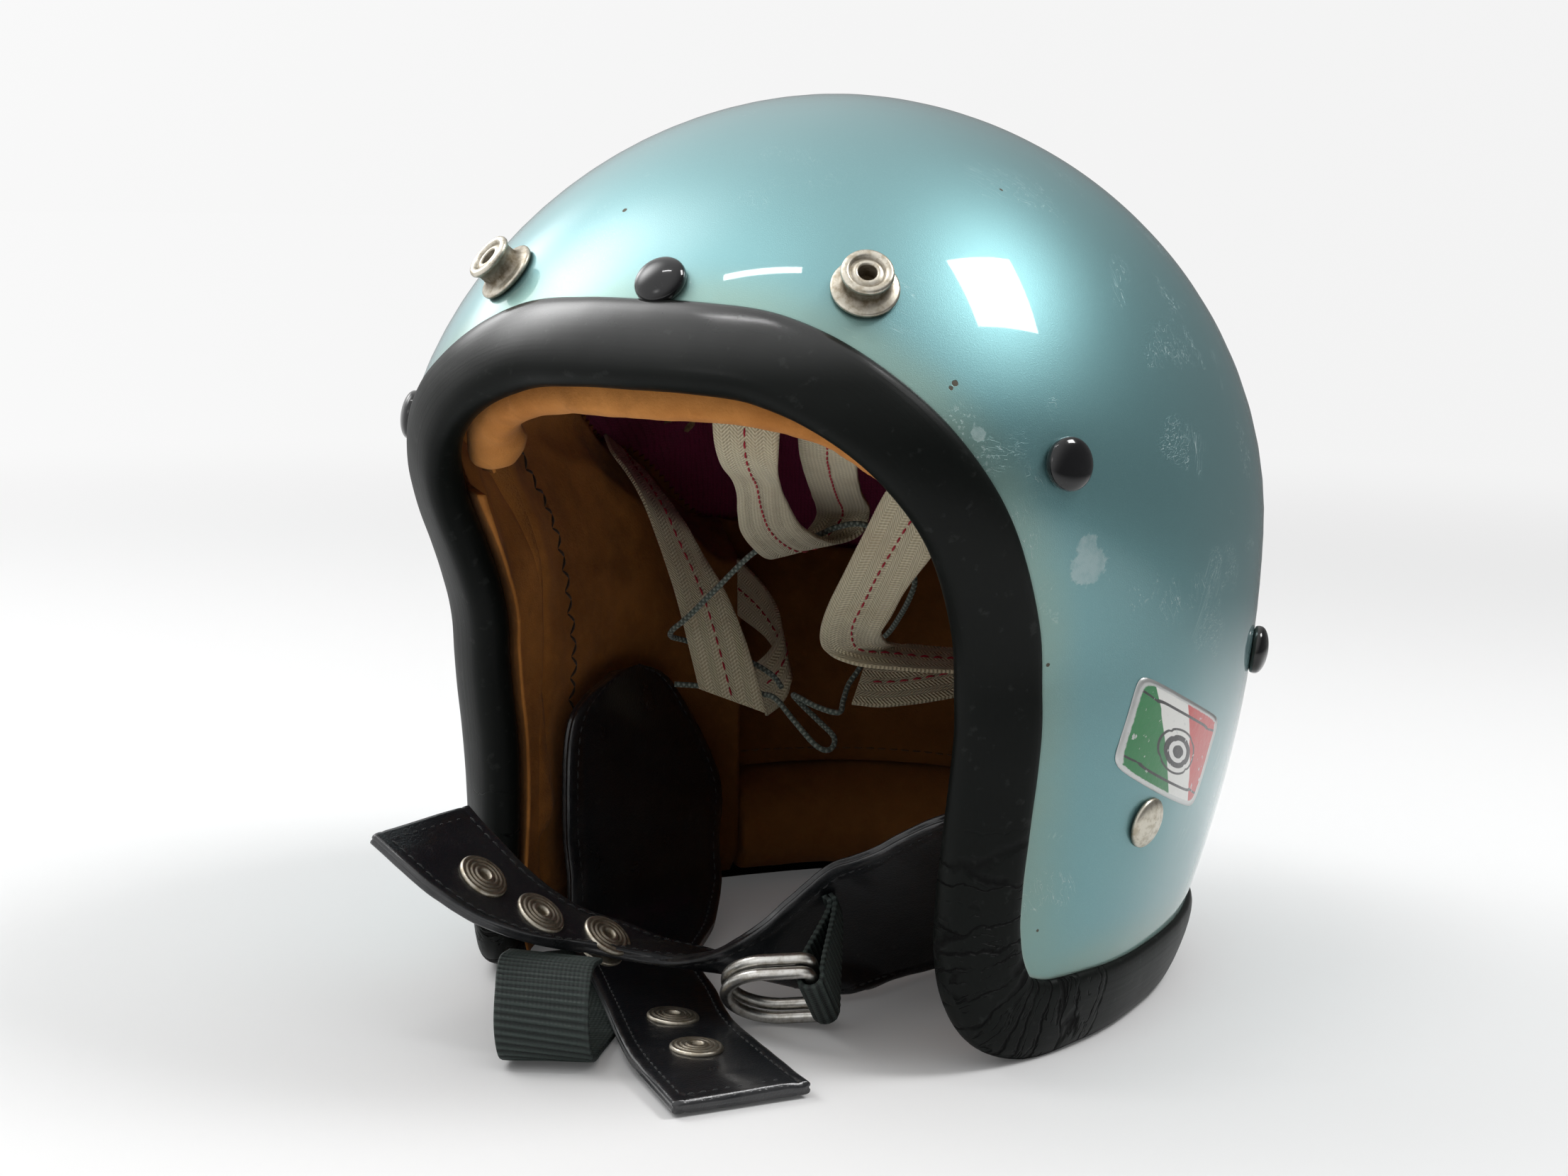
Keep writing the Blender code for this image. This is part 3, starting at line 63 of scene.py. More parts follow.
# The edge's outline: millimetres up from the rim, and millimetres off the paint.
TRIM_OUTLINE = (
    (20.1, 0.0), (20.0, 1.0), (19.0, 2.1), (16.6, 3.0), (12.0, 3.5), (6.0, 3.6), (1.5, 3.4),
    (-1.2, 2.8), (-2.9, 1.4), (-3.8, -0.8), (-4.0, -3.2), (-3.5, -5.6), (-2.2, -7.4), (0.0, -8.5),
    (1.9, -8.8), (3.3, -8.4), (4.0, -7.6), (5.0, -7.7), (7.0, -7.6), (10.0, -7.2), (13.2, -6.5),
    (14.1, -5.5), (14.0, -4.6),
)
TRIM_SLOT = ((10.0, -4.4), (0.0, -4.4), (-0.4, -2.0), (0.0, 0.0), (10.0, 0.0))
TRIM_STEPS = 44
SHELL_BAND_ROWS = 7
SHELL_ROWS = 34

# Linings
EDGE_DEPTH = 8.7 * MM
ROLL_DEPTH = 10.4 * MM
CLOTH_DEPTH = 16.2 * MM
SUEDE_DEPTH = 19.9 * MM
SUEDE_WALL = 5.0 * MM
CAVITY_HALF_WIDTH = 79.0 * MM
CAVITY_BACK_REACH = 93.0 * MM
CAVITY_FRONT_REACH = 128.0 * MM
ROLL_WIDTH = 26.0 * MM
ROLL_FRONT = 2.0 * MM
# The share of a cheek panel's columns that its front roll takes.
ROLL_COLUMNS = 0.36
LINING_FOOT = 6.0 * MM
NECK_ROLL_TOP = 40.0 * MM
NECK_ROLL_THICKNESS = 25.6 * MM
REAR_SUEDE_WALL = 5.1 * MM
PANEL_GAP = 0.4 * MM
BROW_DROP = 12.0 * MM
BROW_RISE = 22.0 * MM
BROW_DEPTH = 15.0 * MM
BROW_GAP = 0.5 * MM
BROW_END_SHARE = 0.562
BROW_SIDES = 40
# Where the cheek panels end, in degrees round from the front.
SIDE_PANEL_END = 132.0
CROWN_FOLDS = 26.0
CROWN_ROWS = 26
CROWN_CLOTH_START = 0.12
PINKED_TEETH = 72
PINKED_RISE = 2.4 * MM
PINKED_LAP = 3.0 * MM
PINKED_EDGE_SHARES = (
    (38.0, 0.562), (48.0, 0.570), (54.0, 0.655), (72.0, 0.665), (90.0, 0.630), (110.0, 0.560),
    (130.0, 0.470), (155.0, 0.425), (180.0, 0.415),
)

# Studs: degrees round from the front, share of the shell height.
DOME_SHARES = {
    "front": (1.5, 0.8055),
    "front_left": (56.2, 0.639),
    "front_right": (-56.2, 0.639),
    "rear_left": (117.7, 0.384),
    "rear_right": (-117.7, 0.384),
    "rear": (180.0, 0.250),
}
VISOR_STUD_SHARES = (30.9, 0.805)
STRAP_RIVET_SHARES = (78.0, 0.2464)
# The strap rivets' axis on the wearer's left, square to the flat seat that their heads stand on.
STRAP_RIVET_WAY = Vector((0.963218, -0.170941, -0.20734))
STRAP_RIVET_SINK = 0.3 * MM

# Straps
STRAP_HALF = 1.8 * MM
WEB_HALF = 0.8 * MM
TAPE_HALF = 0.65 * MM
RING_WIRE = 1.75 * MM
RING_BAR = 27.0 * MM
RING_REACH = 26.0 * MM
RING_PITCH = 4.2 * MM
LACE_RADIUS = 0.85 * MM
RIB_PITCH = 2.05 * MM
RIB_RISE = 0.60 * MM
# The caps' places, as shares of each strap's length.
LEFT_CAPS = (0.75, 0.832, 0.905)
RIGHT_CAPS = (0.755, 0.86)

# The rails of the straps, webbing and tapes: points in millimetres.
FLAP_FRONT = ((71.5, -8, 84), (70.8, -25, 79), (70.6, -34, 70))
FLAP_BACK = ((72.6, 7, 84), (71.5, 20, 79), (68, 28, 68))
RIGHT_FRONT = (
    (-71, -35, 44), (-70, -34, 25), (-69, -35, 11.7), (-61, -44, 6.2), (-44, -62, 5.2),
    (-22, -88, 5.0), (1, -114, 4.0), (29, -138.7, 2.9),
)
RIGHT_BACK = (
    (-60, 36, 44), (-58, 33, 24), (-54, 28, 10.5), (-43, 6, 5.2), (-31, -25, 3.6),
    (-10, -50, 2.6), (11, -74, 2.5), (51, -107, 2.9),
)
LEFT_FRONT = (
    (67, -45, 66), (60, -51, 63.5), (50, -51, 58), (43.2, -53, 53.5), (35.4, -52, 49.6),
    (26, -50, 44.7), (15.2, -51, 34.6), (8.2, -54, 27.6), (2.6, -59.5, 23), (-2, -67, 20.6),
    (-9.1, -76, 20.2), (-16.1, -84, 21.9), (-25.8, -96, 26), (-33, -110, 30.5), (-42.7, -123, 38),
    (-51.8, -129.5, 45.4), (-61.8, -130.5, 52), (-73.2, -128.5, 57.3),
)
LEFT_BACK = (
    (62, 29, 50), (55, 30, 30), (44, 23, 12), (33, 10, 3.5), (28, -8, 3),
    (25, -24, 3), (17, -33, 4.5), (8, -39, 7.5), (-1, -44.5, 11), (-10, -52.5, 15.5),
    (-17.5, -62, 19.5), (-25, -71.5, 25), (-34, -82, 31), (-41, -88.5, 37), (-48, -92, 43.5),
    (-55, -93, 49.5), (-62, -92, 54), (-69, -90, 58),
)
TAIL_NEAR = (
    (-77, -39.5, 1.3), (-62, -59, 1.3), (-44.4, -92, 1.3), (-34.8, -118, 1.6), (-30.6, -129.5, 3.6),
    (-30.6, -132, 11.7), (-33, -128, 21), (-38.4, -118.4, 26.0), (-42, -108, 25.5),
)
TAIL_FAR = (
    (-60, -18.4, 1.2), (-42, -43.4, 1.2), (-23, -79, 1.2), (-13, -106.6, 1.6), (-8.4, -118.4, 3.6),
    (-7.8, -121.7, 11.7), (-10.2, -117.8, 21), (-15.6, -107, 24.5), (-19.2, -97, 23.5),
)
CRADLE = {
    "right_front": (
        (
            (-93, 20.5, 154), (-84.5, 11, 150), (-75, 5, 144.5), (-66, 0, 136.7),
            (-57, -2, 120), (-51.5, -3.5, 108), (-47.5, -2.5, 93), (-44.2, -2, 81),
        ),
        (
            (-91.2, 38.5, 142), (-80.5, 27, 140.5), (-69, 18, 136), (-57, 10, 129),
            (-50, 9, 120), (-42.5, 8, 111.4), (-33.5, 7, 95.4), (-24.4, 5, 74.2),
        ),
    ),
    "front": (
        (
            (10, -88, 199), (6, -82, 168), (0, -60, 153), (-8, -44, 143), (-14.4, -30, 135),
            (-18.2, -12, 126.4), (-17.5, -4, 124.5), (-13, 2, 128.5), (-7, 2, 137), (4, -22, 147),
            (14, -46, 157), (24, -68, 168), (34, -85, 184), (36, -86, 197),
        ),
        (
            (30, -86, 197), (25, -82, 166), (14, -60, 154), (8, -44, 146), (3.5, -28, 138),
            (2, -12, 132.5), (4, -4, 130.5), (8, 2, 133), (11, 1, 140), (20, -22, 148),
            (31, -47, 157), (42, -68, 166), (52, -79, 180), (54, -79, 192),
        ),
    ),
    "left_front": (
        (
            (62, -70, 168), (47.2, -60, 155.4), (36, -52, 141), (26.7, -45, 128.6), (18, -38, 117),
            (12.8, -32, 108), (12.0, -27, 102.5), (17, -24, 99.5), (25.5, -20, 98), (39, -10, 96.6),
            (56, 0, 96.4), (77, 7, 97),
        ),
        (
            (74, -55, 155), (62, -54, 143), (54, -50, 134.5), (44, -42, 125), (36.3, -34, 116.5),
            (30, -28, 110), (27, -20, 106), (25, -11, 103.5), (27, -3, 102), (38, 8, 100),
            (54, 18, 99.5), (75, 26, 100),
        ),
    ),
    "left_rear": (
        ((72.25, 35.6, 96.9), (50, 28, 89), (30, 20, 83), (14, 11, 80), (4, 6, 80.5)),
        ((67.9, 46.9, 109.8), (48, 42, 101), (28, 34, 95), (12, 25, 91.5), (2, 19, 91)),
    ),
    "right_rear": (
        (
            (-64.4, 56.8, 112), (-52, 50, 106), (-42, 43, 99), (-38.5, 38, 93), (-41, 36, 87),
            (-47, 38, 82),
        ),
        (
            (-62.4, 54.4, 94), (-47, 46, 89), (-36, 38.5, 82), (-32, 34, 78), (-34, 32, 72),
            (-40, 33, 67),
        ),
    ),
}
LACE = (
    (-54.4, 0, 81), (-46, 4.5, 80.5), (-36, 7.2, 79.8), (-27.4, 7.5, 79.6), (-21.8, 5.7, 79),
    (-14, 2.5, 74), (-5, 0.5, 67.5), (-1.6, 3, 66.2), (-2, 6.5, 69.2), (-9, 9.5, 73),
    (-15, 11, 76.5), (-17.5, 9, 80), (-13.5, 5, 80.5), (-6, 3.6, 78.5), (0.5, 4.5, 77.6),
    (-0.2, 8.5, 80.5), (-1, 13.5, 84.5), (0.1, 18.7, 89), (0.5, 25, 94.5), (6, 25, 99),
    (12, 20, 105), (19, 13, 113), (22.3, 9, 120), (20, 3, 129), (15, -1, 134.5),
    (9.9, -4, 136.5), (3, -5, 134.9), (-3.7, -5.1, 131.7), (-9.7, -5, 129.4), (-16.6, -6.4, 127.6),
    (-23.5, -7, 125.3), (-36, -8, 113), (-45, -8.5, 104), (-50.5, -8, 99.5), (-53.5, -3.5, 96.5),
    (-52, 2.5, 94.5), (-44, 7.5, 91.5), (-34, 12, 88), (-27, 13, 84.5), (-23, 11.5, 81.5),
)
RING_BAR_AT = Vector((30.24, -62.51, 14.80)) * MM
RING_BAR_WAY = Vector((-0.14, 0.72, -0.68)).normalized()
RING_REACH_WAY = Vector((-0.93, -0.32, -0.10))
LOOP_ROOT = Vector((26.76, -46.46, 30.5)) * MM
LOOP_HALF_WIDTH = 11.0 * MM
LOOP_ROOT_HALF_WIDTH = 4.5 * MM

# Threads: a stitch's length, the gap to the next, the thread's radius, and the sway of a zigzag.
SEWING = {
    "dark_thread": (2.6 * MM, 0.9 * MM, 0.28 * MM, 0.0),
    "red_thread": (2.7 * MM, 1.3 * MM, 0.33 * MM, 0.0),
    "tan_thread": (2.8 * MM, 1.2 * MM, 0.3 * MM, 0.0),
    "brown_thread": (3.3 * MM, 0.1 * MM, 0.42 * MM, 1.7 * MM),
}
STRAP_SEAM_INSET = 3.1 * MM
SEAM_STEPS = 400

# Label: its four corners as pixels of the photograph, top left first.
LABEL_PIXELS = ((1608, 948), (1719, 1012), (1681, 1139), (1567, 1079))
LABEL_SIDE = 37.0 * MM
LABEL_STEPS = 28

# Chips down to the filler, and a rubbed place: pixels of the photograph, and radii.
CHIP_SPOTS = (
    ((1360, 694), 1.1 * MM), ((1366, 700), 0.7 * MM), ((1347, 541), 1.0 * MM), ((1341, 548), 0.7 * MM),
    ((882, 297), 0.8 * MM), ((1478, 938), 0.6 * MM), ((1412, 268), 0.6 * MM),
)
RUB_SPOTS = (((1536, 798), 6.0 * MM), ((1534, 770), 3.5 * MM), ((1380, 612), 2.2 * MM))

# The room: where it is brightest, how white it is to the camera, and how bright in reflections.
ROOM_BRIGHT_WAY = Vector((-0.62, -0.45, 0.64))
ROOM_SEEN = (0.90, 1.02)
ROOM_MIRRORED = (0.16, 1.10)
ROOM_DIFFUSE = (0.025, 0.80)
FLOOR_LIFT = 0.06

# Lamps: place in metres, width, height, watts, whether the edges are soft, and a way across it.
UP = Vector((0.0, 0.0, 1.0))
LAMPS = {
    "window": ((0.72, 0.33, 1.20), 0.40, 0.40, 9.0, False, Vector((0.1, 0.6, -0.3))),
    "overhead": ((-0.88, -0.16, 1.04), 1.8, 1.4, 54.0, True, UP),
    "tube": ((-0.18, -0.35, 1.25), 0.34, 0.035, 1.1, False, Vector((1.0, 0.3, 0.0))),
    "far_side": ((-1.15, 0.30, 0.72), 1.0, 1.0, 14.0, True, UP),
    "fill": ((-0.35, -1.6, 0.75), 1.0, 1.0, 7.0, True, UP),
}
LAMP_AIM = Vector((0.0, -0.02, 0.13))
LAMP_FALL = 2.5

# Camera, fitted to the photograph.
PHOTO_WIDTH = 2212.0
PHOTO_HEIGHT = 1659.0
FOCAL_PIXELS = 3894.3
CAMERA_AT = Vector((371.6, -718.8, 246.5)) * MM
CAMERA_TURN = math.radians(28.37)
CAMERA_DIP = math.radians(9.18)
CAMERA_ROLL = math.radians(0.96)


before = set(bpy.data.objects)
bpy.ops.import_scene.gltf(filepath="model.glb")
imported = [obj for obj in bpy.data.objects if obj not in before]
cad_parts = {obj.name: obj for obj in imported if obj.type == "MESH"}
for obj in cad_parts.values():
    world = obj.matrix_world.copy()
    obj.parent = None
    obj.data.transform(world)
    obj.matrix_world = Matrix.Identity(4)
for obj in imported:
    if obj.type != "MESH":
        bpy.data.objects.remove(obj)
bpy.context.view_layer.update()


# Camera


def camera_axes():
    """The camera's right, up and forward directions."""
    flat = math.cos(CAMERA_DIP)
    ahead = Vector((-math.sin(CAMERA_TURN) * flat, math.cos(CAMERA_TURN) * flat, -math.sin(CAMERA_DIP)))
    right = Vector((math.cos(CAMERA_TURN), math.sin(CAMERA_TURN), 0.0))
    up = right.cross(ahead)
    turned = right * math.cos(CAMERA_ROLL) + up * math.sin(CAMERA_ROLL)
    return turned, up * math.cos(CAMERA_ROLL) - right * math.sin(CAMERA_ROLL), ahead


def make_camera():
    right, up, ahead = camera_axes()
    data = bpy.data.cameras.new("photo_camera")
    data.sensor_width = 36.0
    data.lens = data.sensor_width * FOCAL_PIXELS / PHOTO_WIDTH
    data.clip_start = 0.01
    camera = bpy.data.objects.new("photo_camera", data)
    bpy.context.scene.collection.objects.link(camera)
    turn = Matrix((right, up, -ahead)).transposed()
    camera.matrix_world = Matrix.Translation(CAMERA_AT) @ turn.to_4x4()
    bpy.context.scene.camera = camera


def sight(pixel):
    """The direction in which the camera sees a pixel of the photograph."""
    right, up, ahead = camera_axes()
    across = (pixel[0] - PHOTO_WIDTH / 2.0) / FOCAL_PIXELS
    down = (pixel[1] - PHOTO_HEIGHT / 2.0) / FOCAL_PIXELS
    return (ahead + right * across - up * down).normalized()


def paint_under(pixel):
    """The place on the paint that a pixel of the photograph shows."""
    ray, point = sight(pixel), CAMERA_AT.copy()
    while shell_value(point) > 0.0:
        point += ray * (0.5 * MM)
    return point


# Shell surface


def soft_step(value, low, high):
    t = min(max((value - low) / (high - low), 0.0), 1.0)
    return t * t * (3.0 - 2.0 * t)


def side_reaches(height, ahead):
    """The plan's half width and reach at a height, where the shell tucks in below its widest."""
    drop = max(EQUATOR_HEIGHT - height, 0.0) / EQUATOR_HEIGHT
    tuck = drop * drop
    side = HALF_WIDTH * (1.0 - SIDE_TUCK * tuck)
    if not ahead:
        return side, BACK_REACH * (1.0 - BACK_TUCK * tuck)
    share = height / SHELL_HEIGHT
    top, full, low, foot = CHEEK_SHARES
    cheek = CHEEK_TUCK * soft_step(share, top, full) * soft_step(share, foot, low)
    return side, FRONT_REACH * (1.0 - FRONT_TUCK * tuck) * (1.0 - cheek)


def shell_value(point):
    """Below zero inside the shell's outer surface, and above zero outside it."""
    side, reach = side_reaches(point.z, point.y < 0.0)
    plan = (abs(point.x) / side) ** PLAN_POWER + (abs(point.y) / reach) ** PLAN_POWER
    rise = max(point.z - EQUATOR_HEIGHT, 0.0) / (SHELL_HEIGHT - EQUATOR_HEIGHT)
    return plan ** (CROWN_POWER / PLAN_POWER) + rise**CROWN_POWER - 1.0


def shell_point(direction, start=HUB):
    near, far = 0.0, SHELL_HEIGHT
    for _ in range(30):
        middle = (near + far) / 2.0
        if shell_value(start + direction * middle) < 0.0:
            near = middle
        else:
            far = middle
    return start + direction * near


def shell_normal(point):
    step = 0.2 * MM
    slope = []
    for axis in range(3):
        shift = Vector((0.0, 0.0, 0.0))
        shift[axis] = step
        slope.append(shell_value(point + shift) - shell_value(point - shift))
    return Vector(slope).normalized()


# Shader maths


def plug(tree, socket, item):
    """Links a wire to the socket, or sets the socket's value."""
    if isinstance(item, Wire):
        tree.links.new(item.socket, socket)
    elif hasattr(item, "__len__") and len(socket.default_value) == 4 and len(item) == 3:
        socket.default_value = (*item, 1.0)
    else:
        socket.default_value = item


def add_node(tree, kind, settings, values, output=0):
    """A new node's output. Its settings come first, and then its sockets by name or number."""
    made = tree.nodes.new("ShaderNode" + kind)
    for name, item in settings.items():
        setattr(made, name, item)
    for name, item in values.items():
        plug(tree, made.inputs[name], item)
    return Wire(tree, made.outputs[output])


class Wire:
    """A shader socket that can be added, multiplied and compared like a number."""

    def __init__(self, tree, socket):
        self.tree = tree
        self.socket = socket

    def maths(self, operation, *items, clamp=False):
        settings = {"operation": operation, "use_clamp": clamp}
        return add_node(self.tree, "Math", settings, dict(enumerate(items)))

    def __add__(self, other):
        return self.maths("ADD", self, other)

    def __sub__(self, other):
        return self.maths("SUBTRACT", self, other)

    def __rsub__(self, other):
        return self.maths("SUBTRACT", other, self)

    def __mul__(self, other):
        return self.maths("MULTIPLY", self, other)

    def __truediv__(self, other):
        return self.maths("DIVIDE", self, other)

    def __pow__(self, other):
        return self.maths("POWER", self, other)

    def __abs__(self):
        return self.maths("ABSOLUTE", self)

    __radd__ = __add__
    __rmul__ = __mul__

    def clamp(self):
        return self.maths("ADD", self, 0.0, clamp=True)

    def above(self, low, high):
        """From 0 at low to 1 at high, with a soft start and end. High may be below low."""
        values = {"Value": self, "From Min": low, "From Max": high}
        return add_node(self.tree, "MapRange", {"interpolation_type": "SMOOTHSTEP"}, values)

    def wave(self, period):
        """A soft wave from 0 to 1, with a length."""
        return self.maths("SINE", self * (2.0 * math.pi / period)) * 0.5 + 0.5

    def tooth(self, period):
        """From 0 up to 1 again and again, with a length."""
        return self.maths("FRACT", self / period)

    def most(self, other):
        return self.maths("MAXIMUM", self, other)


def vector_maths(tree, operation, *items):
    """A Vector Math node's number where it gives one, and otherwise its vector."""
    number = operation in ("DISTANCE", "DOT_PRODUCT", "LENGTH")
    output = "Value" if number else "Vector"
    return add_node(tree, "VectorMath", {"operation": operation}, dict(enumerate(items)), output)


def rays(tree):
    """Masks for mirrored rays, and for rays that the camera sees."""
    words = ("Is Glossy Ray", "Is Camera Ray", "Is Transmission Ray")
    glossy, direct, through = [add_node(tree, "LightPath", {}, {}, word) for word in words]
    return glossy, direct.most(through)


def room_light(tree, way):
    """How bright the room is in a direction, from 0 to 1: brightest where its ceiling is lit."""
    return vector_maths(tree, "DOT_PRODUCT", way, ROOM_BRIGHT_WAY).above(-0.35, 0.80)


SOCKET_NAMES = {"ior": "IOR", "coat_ior": "Coat IOR", "specular": "Specular IOR Level"}


class Finish:
    """A material on one Principled shader, whose uniform values are set by name."""

    def __init__(self, name, **values):
        self.material = bpy.data.materials.new(name)
        self.material.use_nodes = True
        self.tree = self.material.node_tree
        self.shader = self.tree.nodes["Principled BSDF"]
        self.feed(**values)

    def feed(self, **values):
        """Sets or links the shader's sockets: base_color feeds Base Color."""
        for name, item in values.items():
            words = SOCKET_NAMES.get(name, name.replace("_", " ").title())
            plug(self.tree, self.shader.inputs[words], item)
        return self

    def node(self, kind, settings=None, output=0, **values):
        return add_node(self.tree, kind, settings or {}, values, output)

    def place(self, scale=(1.0, 1.0, 1.0), turn=(0.0, 0.0, 0.0)):
        """The place on the piece in metres, turned and then scaled."""
        at = self.node("TexCoord", output="Object")
        turned = self.node("Mapping", {"vector_type": "POINT"}, Vector=at, Rotation=turn)
        return self.node("Mapping", {"vector_type": "POINT"}, Vector=turned, Scale=scale)

    def height(self, axis="Z"):
        """How far a point of the piece is along an axis, in metres."""
        return self.node("SeparateXYZ", output=axis, Vector=self.place())

    def uv(self):
        """The distances along and across a strap or edge, in metres."""
        at = self.node("UVMap", {"uv_map": "UVMap"})
        along = self.node("SeparateXYZ", output="X", Vector=at)
        return along, self.node("SeparateXYZ", output="Y", Vector=at)

    def join(self, x, y, z=0.0):
        return self.node("CombineXYZ", X=x, Y=y, Z=z)

    def mark(self, name):
        """A number painted on the mesh's points."""
        return self.node("Attribute", {"attribute_name": name}, output="Fac")

    def noise(self, scale, detail=4.0, roughness=0.55, at=None, distortion=0.0):
        return self.node(
            "TexNoise", Vector=at or self.place(), Scale=scale, Detail=detail, Roughness=roughness,
            Distortion=distortion,
        )

    def cells(self, scale, feature="F1", at=None, randomness=1.0):
        at = at or self.place()
        return self.node("TexVoronoi", {"feature": feature}, Vector=at, Scale=scale, Randomness=randomness)

    def borders(self, scale, at=None, randomness=1.0):
        """How far a point is from the border of its cell."""
        return self.cells(scale, "DISTANCE_TO_EDGE", at, randomness)

    def blend(self, factor, low, high):
        """One colour where the factor is 0, and the other where it is 1."""
        return add_node(self.tree, "Mix", {"data_type": "RGBA"}, {0: factor, 6: low, 7: high}, 2)

    def bump(self, height, depth, strength=1.0, under=None):
        values = {"Height": height, "Distance": depth, "Strength": strength}
        if under:
            values["Normal"] = under
        return self.node("Bump", **values)

    def hairlines(self, turn, along=25.0, across=900.0, thin=0.012, shown=0.62):
        """Fine broken scratches that run one way over the piece."""
        at = self.place(scale=(along, across, across * 0.35), turn=turn)
        line = abs(self.noise(1.0, detail=1.0, at=at, distortion=0.4) - 0.5).above(thin, thin * 0.2)
        return line * self.noise(34.0, detail=2.0, at=self.place(turn=turn)).above(shown, shown + 0.05)


# Finishes


def spots(f, table):
    """Ragged spots at places of the paint that the photograph shows: pixel, and radius in metres."""
    found = 0.0
    ragged = f.noise(700.0, detail=3.0)
    for pixel, radius in table:
        reach = vector_maths(f.tree, "DISTANCE", f.place(), paint_under(pixel))
        spot = (reach * (0.6 + ragged * 0.8)).above(radius, radius * 0.8)
        found = spot.most(found)
    return found


def paint_finish():
    """Metallic blue-green lacquer with hair scratches, small chips and an aged tint by the rubber."""
    f = Finish("shell_paint", coat_weight=1.0, coat_roughness=0.035, coat_ior=1.42, metallic=0.82)
    cloud = f.noise(9.0, detail=3.0)
    flake = f.cells(3400.0)
    base = f.blend(cloud, (0.145, 0.315, 0.335), (0.170, 0.350, 0.368))
    base = f.blend(flake * 0.30, base, (0.28, 0.50, 0.52))
    off = f.mark("off_trim")
    aged = off.above(0.012, 0.0) * (0.25 + f.noise(60.0) * 0.45)
    base = f.blend(aged, base, (0.27, 0.36, 0.27))
    worn = f.height("X").above(0.05, 0.115) * 0.75 + 0.22
    scratch = f.hairlines((0.3, 0.5, 1.1)).most(f.hairlines((1.2, 0.2, -0.5), along=40.0, across=1100.0))
    scratch = scratch.most(f.hairlines((0.7, 1.4, 0.2), along=18.0, across=700.0, shown=0.66))
    scratch = (scratch * worn).clamp()
    scuff = f.noise(900.0, detail=2.0).above(0.56, 0.64) * f.noise(26.0, detail=3.0).above(0.63, 0.72)
    rubbed = spots(f, RUB_SPOTS) * (0.35 + f.noise(160.0, detail=4.0).above(0.35, 0.6) * 0.65)
    marks = scratch.most(scuff * worn).most(rubbed * 0.7)
    base = f.blend(marks * 0.7, base, (0.62, 0.72, 0.72))
    chip = f.cells(75.0).above(0.035, 0.028) * f.noise(14.0).above(0.53, 0.6)
    chip = chip.most(spots(f, CHIP_SPOTS))
    base = f.blend(chip, base, (0.13, 0.12, 0.095))
    border = f.blend(f.height().above(0.075, 0.055), (0.05, 0.05, 0.035), (0.50, 0.49, 0.42))
    base = f.blend(off.above(0.0012, 0.0) * 0.8, base, border)
    rough = 0.39 + flake * 0.10 + marks * 0.20 + chip * 0.3 + cloud * 0.05
    relief = f.bump(flake, 0.00004, 0.55)
    relief = f.bump(1.0 - marks * 0.5 - chip, 0.00018, 0.5, under=relief)
    coat = 1.0 - marks * 0.6 - chip * 0.8
    return f.feed(base_color=base, roughness=rough, normal=relief, coat_weight=coat)


def rubber_finish():
    """Black rubber edging: lengthwise streaks, dust, a polished brow, and cracks across its lower side."""
    f = Finish("edge_rubber", ior=1.45, specular=0.14, coat_roughness=0.20, coat_ior=1.62)
    along, across = f.uv()
    streak = f.noise(1.0, detail=4.0, at=f.join(along * 14.0, across * 900.0))
    cloud = f.noise(45.0, detail=4.0)
    age = f.mark("cracked")
    wander = along + f.noise(120.0, detail=3.0) * 0.007
    big = f.borders(1.0, f.join(wander * 105.0, across * 11.0)).above(0.015 + age * 0.055, 0.0)
    broken = f.noise(1.0, detail=2.0, at=f.join(along * 120.0, across * 75.0)).above(0.36, 0.50)
    small = f.borders(1.0, f.join(wander * 310.0, across * 45.0)).above(0.07, 0.0)
    small *= f.noise(1.0, detail=2.0, at=f.join(along * 90.0, across * 160.0)).above(0.5, 0.6)
    crack = (big * broken * age.above(0.30, 0.55)).most(small * age.above(0.45, 0.8) * 0.8).clamp()
    colour = f.blend(cloud, (0.0025, 0.0035, 0.003), (0.006, 0.0075, 0.0065))
    colour = f.blend(f.noise(260.0).above(0.60, 0.72) * 0.30, colour, (0.035, 0.038, 0.036))
    colour = f.blend(crack, colour, (0.003, 0.003, 0.003))
    rough = 0.30 + cloud * 0.16 + streak * 0.12 + crack * 0.4
    relief = f.bump(streak, 0.00015, 0.35)
    relief = f.bump(f.noise(1100.0, detail=2.0), 0.00006, 0.4, under=relief)
    relief = f.bump(1.0 - crack, 0.0011, 1.0, under=relief)
    polish = f.height().above(0.186, 0.204) * (0.65 + cloud * 0.6)
    return f.feed(base_color=colour, roughness=rough, normal=relief, coat_weight=polish)


def toned(colour, share):
    return tuple(part * share for part in colour)


